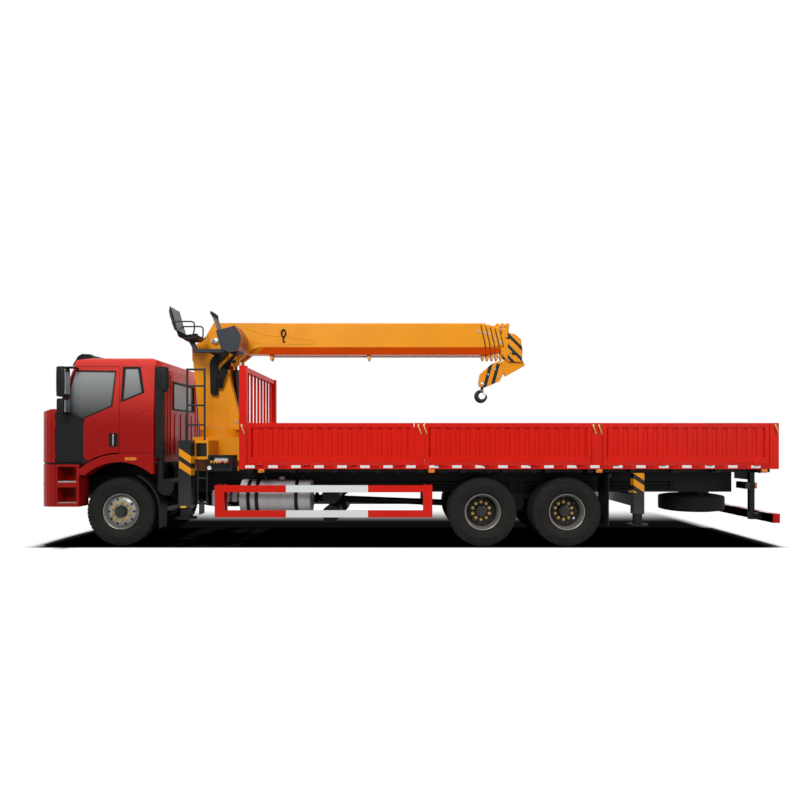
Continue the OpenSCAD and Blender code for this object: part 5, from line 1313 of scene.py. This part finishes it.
# boom: rope under it in one length per section, guides, collar bolts, stow ring and sheaves of the head
boom = {"underZ": 3.217, "ropeZ": 3.190, "ropeR": 0.014, "step": 0.018, "halfWidth": 0.200, "height": 0.540,
        "collarX": (1.380, 1.461, 1.542, 1.623, 1.704), "stroke": 3.3, "ropeStart": -2.440,
        "padBoltZ": (0.400, 0.370, 0.350, 0.250, 0.200),
        "guideX": (-2.400, -0.673), "bendZ": 0.162, "slant": 0.11 / 0.478}
boomBodies = ("boom", "section_2", "section_3", "section_4", "section_5")
for k, body in enumerate(boomBodies):
    mesh = bmesh.new()
    startX = boom["ropeStart"] if k == 0 else boom["collarX"][k] - boom["stroke"]
    addTube(mesh, [(startX, 0.0, boom["ropeZ"]), (boom["collarX"][k] - 0.02, 0.0, boom["ropeZ"])],
            boom["ropeR"] - 0.0003 * k, 12, smooth=False)
    makePiece(mesh, "hoistRope%d" % (k + 1), "wireRope", body, smoothDeg=60)


def addGuide(mesh, x):  # grooved roller on its pin
    groove = [(0.0, -0.034), (0.030, -0.034), (0.030, -0.026), (0.019, -0.012), (0.017, 0.0), (0.019, 0.012),
              (0.030, 0.026), (0.030, 0.034), (0.0, 0.034)]
    addLathe(mesh, groove, (x, 0, boom["ropeZ"] - 0.027), "Y", 28)
    for side in (-1, 1):
        addBolt(mesh, (x, side * 0.064, boom["ropeZ"] - 0.027), (0, side, 0), 0.018, 0.010)


def addGuidePlates(mesh, x, topZ):  # tapered cheeks that hold the roller under a section's end
    low = boom["ropeZ"] - 0.075
    for side in (-1, 1):
        outline = [(x - 0.032, topZ), (x + 0.032, topZ), (x + 0.032, topZ - 0.045), (x + 0.014, low),
                   (x - 0.012, low), (x - 0.026, topZ - 0.045)]
        addPlate(mesh, outline, side * 0.058 - 0.006, side * 0.058 + 0.006)


def addWiper(mesh, k):  # rubber lip along the slanted front edge of a collar, on both sides
    out = boom["halfWidth"] - max(k - 1, 0) * boom["step"]
    front = boom["collarX"][k] - 0.004
    low, bend, top = (boom["underZ"] + z for z in (0.100 + 0.010 * k, boom["bendZ"], 0.500 - 0.018 * k))
    back = boom["slant"] * (top - bend)
    for side in (-1, 1):
        outline = [(front, low), (front, bend), (front - back, top), (front - back - 0.014, top),
                   (front - 0.014, bend), (front - 0.014, low)]
        addPlate(mesh, outline, side * (out - 0.004), side * (out + 0.0025))


def addCollarBolts(mesh, k):  # wear pad bolts on both sides and the top of a collar
    out = boom["halfWidth"] - max(k - 1, 0) * boom["step"]
    x = boom["collarX"][k] - (0.045 if k else 0.065)
    z = boom["padBoltZ"][k]
    back = boom["slant"] * max(z - boom["bendZ"], 0)
    for side in (-1, 1):
        addBolt(mesh, (x - back, side * out, boom["underZ"] + z), (0, side, 0), 0.030, 0.014)
    topZ = boom["underZ"] + boom["height"] - max(k - 1, 0) * boom["step"]
    for y in (-0.08, 0.08):
        addBolt(mesh, (x - 0.095, y, topZ), (0, 0, 1), 0.020, 0.010)


for k, body in enumerate(boomBodies):
    fittings, plates, lips = bmesh.new(), bmesh.new(), bmesh.new()
    for x in (boom["collarX"][k] - 0.036, *(boom["guideX"] if k == 0 else ())):
        addGuide(fittings, x)
        addGuidePlates(plates, x, boom["underZ"] + 0.002 + k * boom["step"])
    addCollarBolts(fittings, k)
    addWiper(lips, k)
    makePiece(fittings, "boomFittings%d" % (k + 1), "zincPlate", body, smoothDeg=35)
    makePiece(plates, "guidePlates%d" % (k + 1), "enamelYellow", body, smoothDeg=35)
    makePiece(lips, "collarWiper%d" % (k + 1), "hoseRubber", body, smoothDeg=35)


def addStowRing(mesh):  # black hose loop and its shackle on the near side of the base section
    angles = turns(16) + [2 * math.pi]
    ring = [(-2.155 + 0.036 * math.cos(a), -0.222, 3.575 + 0.062 * math.sin(a)) for a in angles]
    addTube(mesh, ring, 0.013, 10, smooth=False)
    addTube(mesh, [(-2.150, -0.215, 3.515), (-2.160, -0.222, 3.47), (-2.150, -0.215, 3.43)], 0.011, 10)
    addRod(mesh, (-2.155, -0.196, 3.637), (-2.155, -0.232, 3.637), 0.016)
    addRod(mesh, (-2.150, -0.196, 3.430), (-2.150, -0.230, 3.430), 0.018)


def addLugPins(mesh):  # ends of the pin that joins the luff rod to the boom
    x, z = lorry["lug"]
    for side in (-1, 1):
        cap = ((0.0, 0.224), (0.036, 0.224), (0.036, 0.232), (0.028, 0.236), (0.0, 0.236))
        addLathe(mesh, [(r, side * t) for r, t in cap], (x, 0, z), "Y", 32)


def addStiffeners(mesh):  # pointed doubler plate over the root and the weld bead along its edge
    edge = ((-2.836, 3.673), (-2.472, 3.542), (-2.160, 3.518), (-1.693, 3.456), (-1.640, 3.435),
            (-1.625, 3.405), (-1.640, 3.385))
    back = ((-2.500, 3.385), (-2.850, 3.450), (-2.950, 3.600))
    for side in (-1, 1):
        addPlate(mesh, edge + back, side * 0.1985, side * 0.205)
        addTube(mesh, [(x, side * 0.203, z) for x, z in edge], 0.006, 8, smooth=False)


for maker, name, finishName, slot in ((addStowRing, "stowRing", "hoseRubber", "black_plastic"),
                                      (addLugPins, "lugPins", "forgedSteel", "steel"),
                                      (addStiffeners, "rootBeads", "enamelYellow", "yellow_paint")):
    buildPiece(maker, name, finishName, "boom", smoothDeg=40)

# boom head: grooved sheaves between the plates, pin ends, and the hook under its block
head = {"sheave": (1.880, 3.240), "radius": 0.135, "top": (1.790, 3.510), "block": (1.336, 2.700)}


def addSheave(mesh, x, z, radius, y):
    addLathe(mesh, [(0.03, y - 0.018), (radius, y - 0.018), (radius, y - 0.013), (radius - 0.018, y - 0.004),
                    (radius - 0.018, y + 0.004), (radius, y + 0.013), (radius, y + 0.018), (0.03, y + 0.018)],
             (x, 0, z), "Y", 40)


def addHeadSheaves(mesh):
    for y in (-0.06, -0.02, 0.02, 0.06):
        addSheave(mesh, head["sheave"][0], head["sheave"][1], head["radius"], y)
    for side in (-1, 1):
        for (x, z), radius in ((head["sheave"], 0.034), (head["top"], 0.026)):
            cap = ((0.0, 0.124), (radius, 0.124), (radius, 0.134), (0.0, 0.138))
            addLathe(mesh, [(r, side * t) for r, t in cap], (x, 0, z), "Y", 24)
            addBolt(mesh, (x - radius - 0.02, side * 0.125, z), (0, side, 0), 0.014, 0.008)


def addBlockPins(mesh):  # pin ends and bolts of the hook block's cheeks
    x, z = head["block"]
    for side in (-1, 1):
        cap = ((0.0, 0.074), (0.030, 0.074), (0.030, 0.084), (0.022, 0.088), (0.0, 0.088))
        addLathe(mesh, [(r, side * t) for r, t in cap], (x, 0, z), "Y", 24)
        for dx, dz in ((0.10, 0.17), (0.22, 0.26), (0.28, 0.12)):
            addBolt(mesh, (x + dx, side * 0.075, z + dz), (0, side, 0), 0.024, 0.012)


# forged hook: round eye, shank and a ring that swells towards its back and tapers to the tip
hookForging = {"throat": 0.058, "drop": 0.205, "start": 90, "sweep": 285, "thin": 0.022, "swell": 0.020,
               "tip": 0.013}


def addForging(mesh):
    x, z = head["block"]
    eye = [(0.022, -0.028), (0.040, -0.028), (0.046, -0.020), (0.046, 0.020), (0.040, 0.028), (0.022, 0.028)]
    addLathe(mesh, eye, (x, 0, z), "Y", 32)
    shank = [(0.0, -0.150), (0.022, -0.150), (0.024, -0.100), (0.026, -0.040), (0.0, -0.040)]
    addLathe(mesh, shank, (x, 0, z), "Z", 24)
    rings = []
    for i in range(41):
        share = i / 40
        turn = math.radians(hookForging["start"] + hookForging["sweep"] * share)
        thick = hookForging["thin"] + hookForging["swell"] * math.sin(math.pi * min(share * 1.25, 1.0))
        if share > 0.85:
            thick = hookForging["tip"] + (thick - hookForging["tip"]) * (1 - share) / 0.15
        middle = hookForging["throat"] + thick
        outward = Vector((math.cos(turn), 0, math.sin(turn)))
        centre = Vector((x, 0, z - hookForging["drop"])) + outward * middle
        rings.append(circle(centre, outward, Vector((0, 0.8, 0)), thick, 20))
    addRing(mesh, rings)


forging = buildPiece(addForging, "hookForging", "forgedSteel", "hook", smoothDeg=50)
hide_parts("hook")


def addHookIron(mesh):  # nut and collar over the shank, spring latch across the throat
    x, z = head["block"]
    nut = [(0.0, -0.124), (0.030, -0.124), (0.032, -0.120), (0.032, -0.108), (0.028, -0.104), (0.0, -0.104)]
    addLathe(mesh, nut, (x, 0, z), "Z", 24)
    latch = ((-0.012, -0.135), (0.006, -0.128), (0.075, -0.196), (0.066, -0.205))
    addPlate(mesh, [(x + dx, z + dz) for dx, dz in latch], -0.016, 0.016)
    addRod(mesh, (x - 0.004, -0.022, z - 0.132), (x - 0.004, 0.022, z - 0.132), 0.007)


for maker, name, finishName, body in ((addHeadSheaves, "headSheaves", "forgedSteel", "section_5"),
                                      (addBlockPins, "blockPins", "zincPlate", "section_5"),
                                      (addHookIron, "hookLatch", "zincPlate", "hook")):
    buildPiece(maker, name, finishName, body, smoothDeg=35)


def addGland(mesh):  # gland nut, wiper and the two oil ports of the luff cylinder
    foot, lug = (Vector((x, 0, z)) for x, z in (lorry["cylinderFoot"], lorry["lug"]))
    run = (lug - foot).normalized()
    reach = (lug - foot).length
    for start, end, radius in ((reach - 0.152, reach - 0.132, 0.080), (reach - 0.236, reach - 0.226, 0.098),
                               (0.11, 0.125, 0.090)):
        addRod(mesh, foot + run * start, foot + run * end, radius, 40)
    for start in (0.17, reach - 0.28):
        at = foot + run * start + Vector((0.088, 0, 0))
        addRod(mesh, at - Vector((0.02, 0, 0)), at + Vector((0.028, 0, 0)), 0.020, 12)


buildPiece(addGland, "cylinderGland", "forgedSteel", "barrel", smoothDeg=35)
print("boom dressed")

# stage: white paper floor, soft studio light and the camera at the photograph's place
# the painted shadow on the paper: its edges and their blur in metres
stage = {"camera": (0.02, -12.15, 1.64), "lensMm": 30.73, "shift": (-0.01, 0.055), "floor": 60.0, "sky": 0.10,
         "paintedShadow": {"X": ((-5.95, 0.22), (5.95, 0.22)), "Y": ((-1.36, 0.07), (3.7, 1.5))},
         "white": (9.5, 6.0), "whiteMiddle": (0.0, 1.4, 0.0), "aim": (0, 0, 1.5)}
# place, size in metres and power of each soft lamp; the paper's sun has its angle in degrees
lamps = {"key": ((-4.0, -12.0, 10.0), 6.0, 1500), "fill": ((9.0, -9.0, 6.0), 9.0, 560),
         "top": ((0.0, 1.0, 13.0), 12.0, 700), "back": ((-3.0, 12.0, 8.0), 8.0, 1300),
         "nose": ((-14.0, 1.0, 5.0), 5.0, 620), "stern": ((15.0, 1.0, 6.0), 5.0, 620),
         "paper": ((0.0, 0.0, 14.0), 5.0, 3.4)}


def seenDirectly(tree):  # 1 where the eye, glass or gloss meets the background, 0 where it only lights
    rays = addNode(tree, "ShaderNodeLightPath").outputs
    return joinMasks(tree, [rays[n] for n in ("Is Camera Ray", "Is Glossy Ray", "Is Transmission Ray")],
                     "MAXIMUM")


floorMesh = bmesh.new()
bmesh.ops.create_grid(floorMesh, x_segments=2, y_segments=2, size=stage["floor"] / 2)
floorData = bpy.data.meshes.new("floor")
floorMesh.to_mesh(floorData)
floorMesh.free()
floor = bpy.data.objects.new("floor", floorData)
scene.collection.objects.link(floor)
# matt white paper: plain white away from the vehicle, shaded by it close up and painted near-black under it
# as a painted shadow
floorPaper, floorTree, floorPlace = startFinish("paperFloor")
floorSeen = seenDirectly(floorTree)
fibre = addNode(floorTree, "ShaderNodeTexNoise", {"Scale": 40.0}, {"Vector": floorPlace}).outputs["Fac"]
floorTone = addNode(floorTree, "ShaderNodeMapRange", {3: 0.88, 4: 0.92}, {0: fibre}).outputs[0]
# painted shadow: the paper is painted near-black under the vehicle and behind it, soft at its edge
paintedShadowEdges = []
floorAxes = addNode(floorTree, "ShaderNodeSeparateXYZ", links={0: floorPlace}).outputs
for axis, ends in stage["paintedShadow"].items():
    for (at, blur), (outside, inside) in zip(ends, ((0.0, 1.0), (1.0, 0.0))):
        edge = addNode(floorTree, "ShaderNodeMapRange", {1: at - blur, 2: at + blur, 3: outside, 4: inside},
                       {0: floorAxes[axis]}, interpolation_type="SMOOTHSTEP")
        paintedShadowEdges.append(edge.outputs[0])
floorTone = mixColour(floorTree, joinMasks(floorTree, paintedShadowEdges), floorTone, (0.004, 0.004, 0.004, 1.0))
floorColour = mixColour(floorTree, floorSeen, (0.2, 0.2, 0.2, 1.0), floorTone)
floorPaperShader = addNode(floorTree, "ShaderNodeBsdfPrincipled",
                           {"Roughness": 0.9, "Specular IOR Level": 0.0},
                           {"Base Color": floorColour}).outputs[0]
whitePlace = addNode(floorTree, "ShaderNodeVectorMath", {1: stage["whiteMiddle"]}, {0: floorPlace},
                     operation="SUBTRACT").outputs[0]
flatPlace = addNode(floorTree, "ShaderNodeVectorMath",
                    {1: (1 / stage["white"][0], 1 / stage["white"][1], 0.0)}, {0: whitePlace},
                    operation="MULTIPLY").outputs[0]
reach = addNode(floorTree, "ShaderNodeVectorMath", links={0: flatPlace}, operation="LENGTH").outputs["Value"]
away = addNode(floorTree, "ShaderNodeMapRange", {1: 0.8, 2: 1.1}, {0: reach},
               interpolation_type="SMOOTHSTEP").outputs[0]
awaySeen = joinMasks(floorTree, [away, floorSeen])
floorWhite = addNode(floorTree, "ShaderNodeEmission", {"Color": (1, 1, 1, 1), "Strength": 1.0}).outputs[0]
floorShader = addNode(floorTree, "ShaderNodeMixShader",
                      links={0: awaySeen, 1: floorPaperShader, 2: floorWhite}).outputs[0]
addNode(floorTree, "ShaderNodeOutputMaterial", links={0: floorShader})
floorData.materials.append(floorPaper)

world = bpy.data.worlds.new("studio")
scene.world = world
world.use_nodes = True
worldTree = world.node_tree
worldTree.nodes.clear()
strength = addNode(worldTree, "ShaderNodeMapRange", {3: stage["sky"], 4: 1.0},
                   {0: seenDirectly(worldTree)}).outputs[0]
backdrop = addNode(worldTree, "ShaderNodeBackground", {"Color": (1, 1, 1, 1)},
                   {"Strength": strength}).outputs[0]
addNode(worldTree, "ShaderNodeOutputWorld", links={0: backdrop})

# a small sun overhead lights the paper alone and draws the vehicle's plan in shadow;
# the other lamps leave the paper out
paperOnly, allButPaper = bpy.data.collections.new("paperOnly"), bpy.data.collections.new("allButPaper")
for group, state in ((paperOnly, "INCLUDE"), (allButPaper, "EXCLUDE")):
    group.objects.link(floor)
    group.collection_objects[0].light_linking.link_state = state
for lampName, (place, size, power) in lamps.items():
    lamp = bpy.data.lights.new(lampName, "SUN" if lampName == "paper" else "AREA")
    if lampName == "paper":
        lamp.angle = math.radians(size)
    else:
        lamp.size = size
    lamp.energy = power
    holder = bpy.data.objects.new(lampName, lamp)
    scene.collection.objects.link(holder)
    holder.location = place
    aim = Vector(stage["aim"]) - holder.location
    holder.rotation_euler = aim.to_track_quat("-Z", "Y").to_euler()
    holder.visible_glossy = lampName in ("key", "fill")
    holder.light_linking.receiver_collection = paperOnly if lampName == "paper" else allButPaper

cameraData = bpy.data.cameras.new("camera")
cameraData.lens = stage["lensMm"]
cameraData.sensor_width = 36.0
cameraData.shift_x, cameraData.shift_y = stage["shift"]
camera = bpy.data.objects.new("camera", cameraData)
scene.collection.objects.link(camera)
camera.location = stage["camera"]
camera.rotation_euler = (math.pi / 2, 0, 0)
scene.camera = camera
scene.view_settings.view_transform = "Standard"
print("stage set")
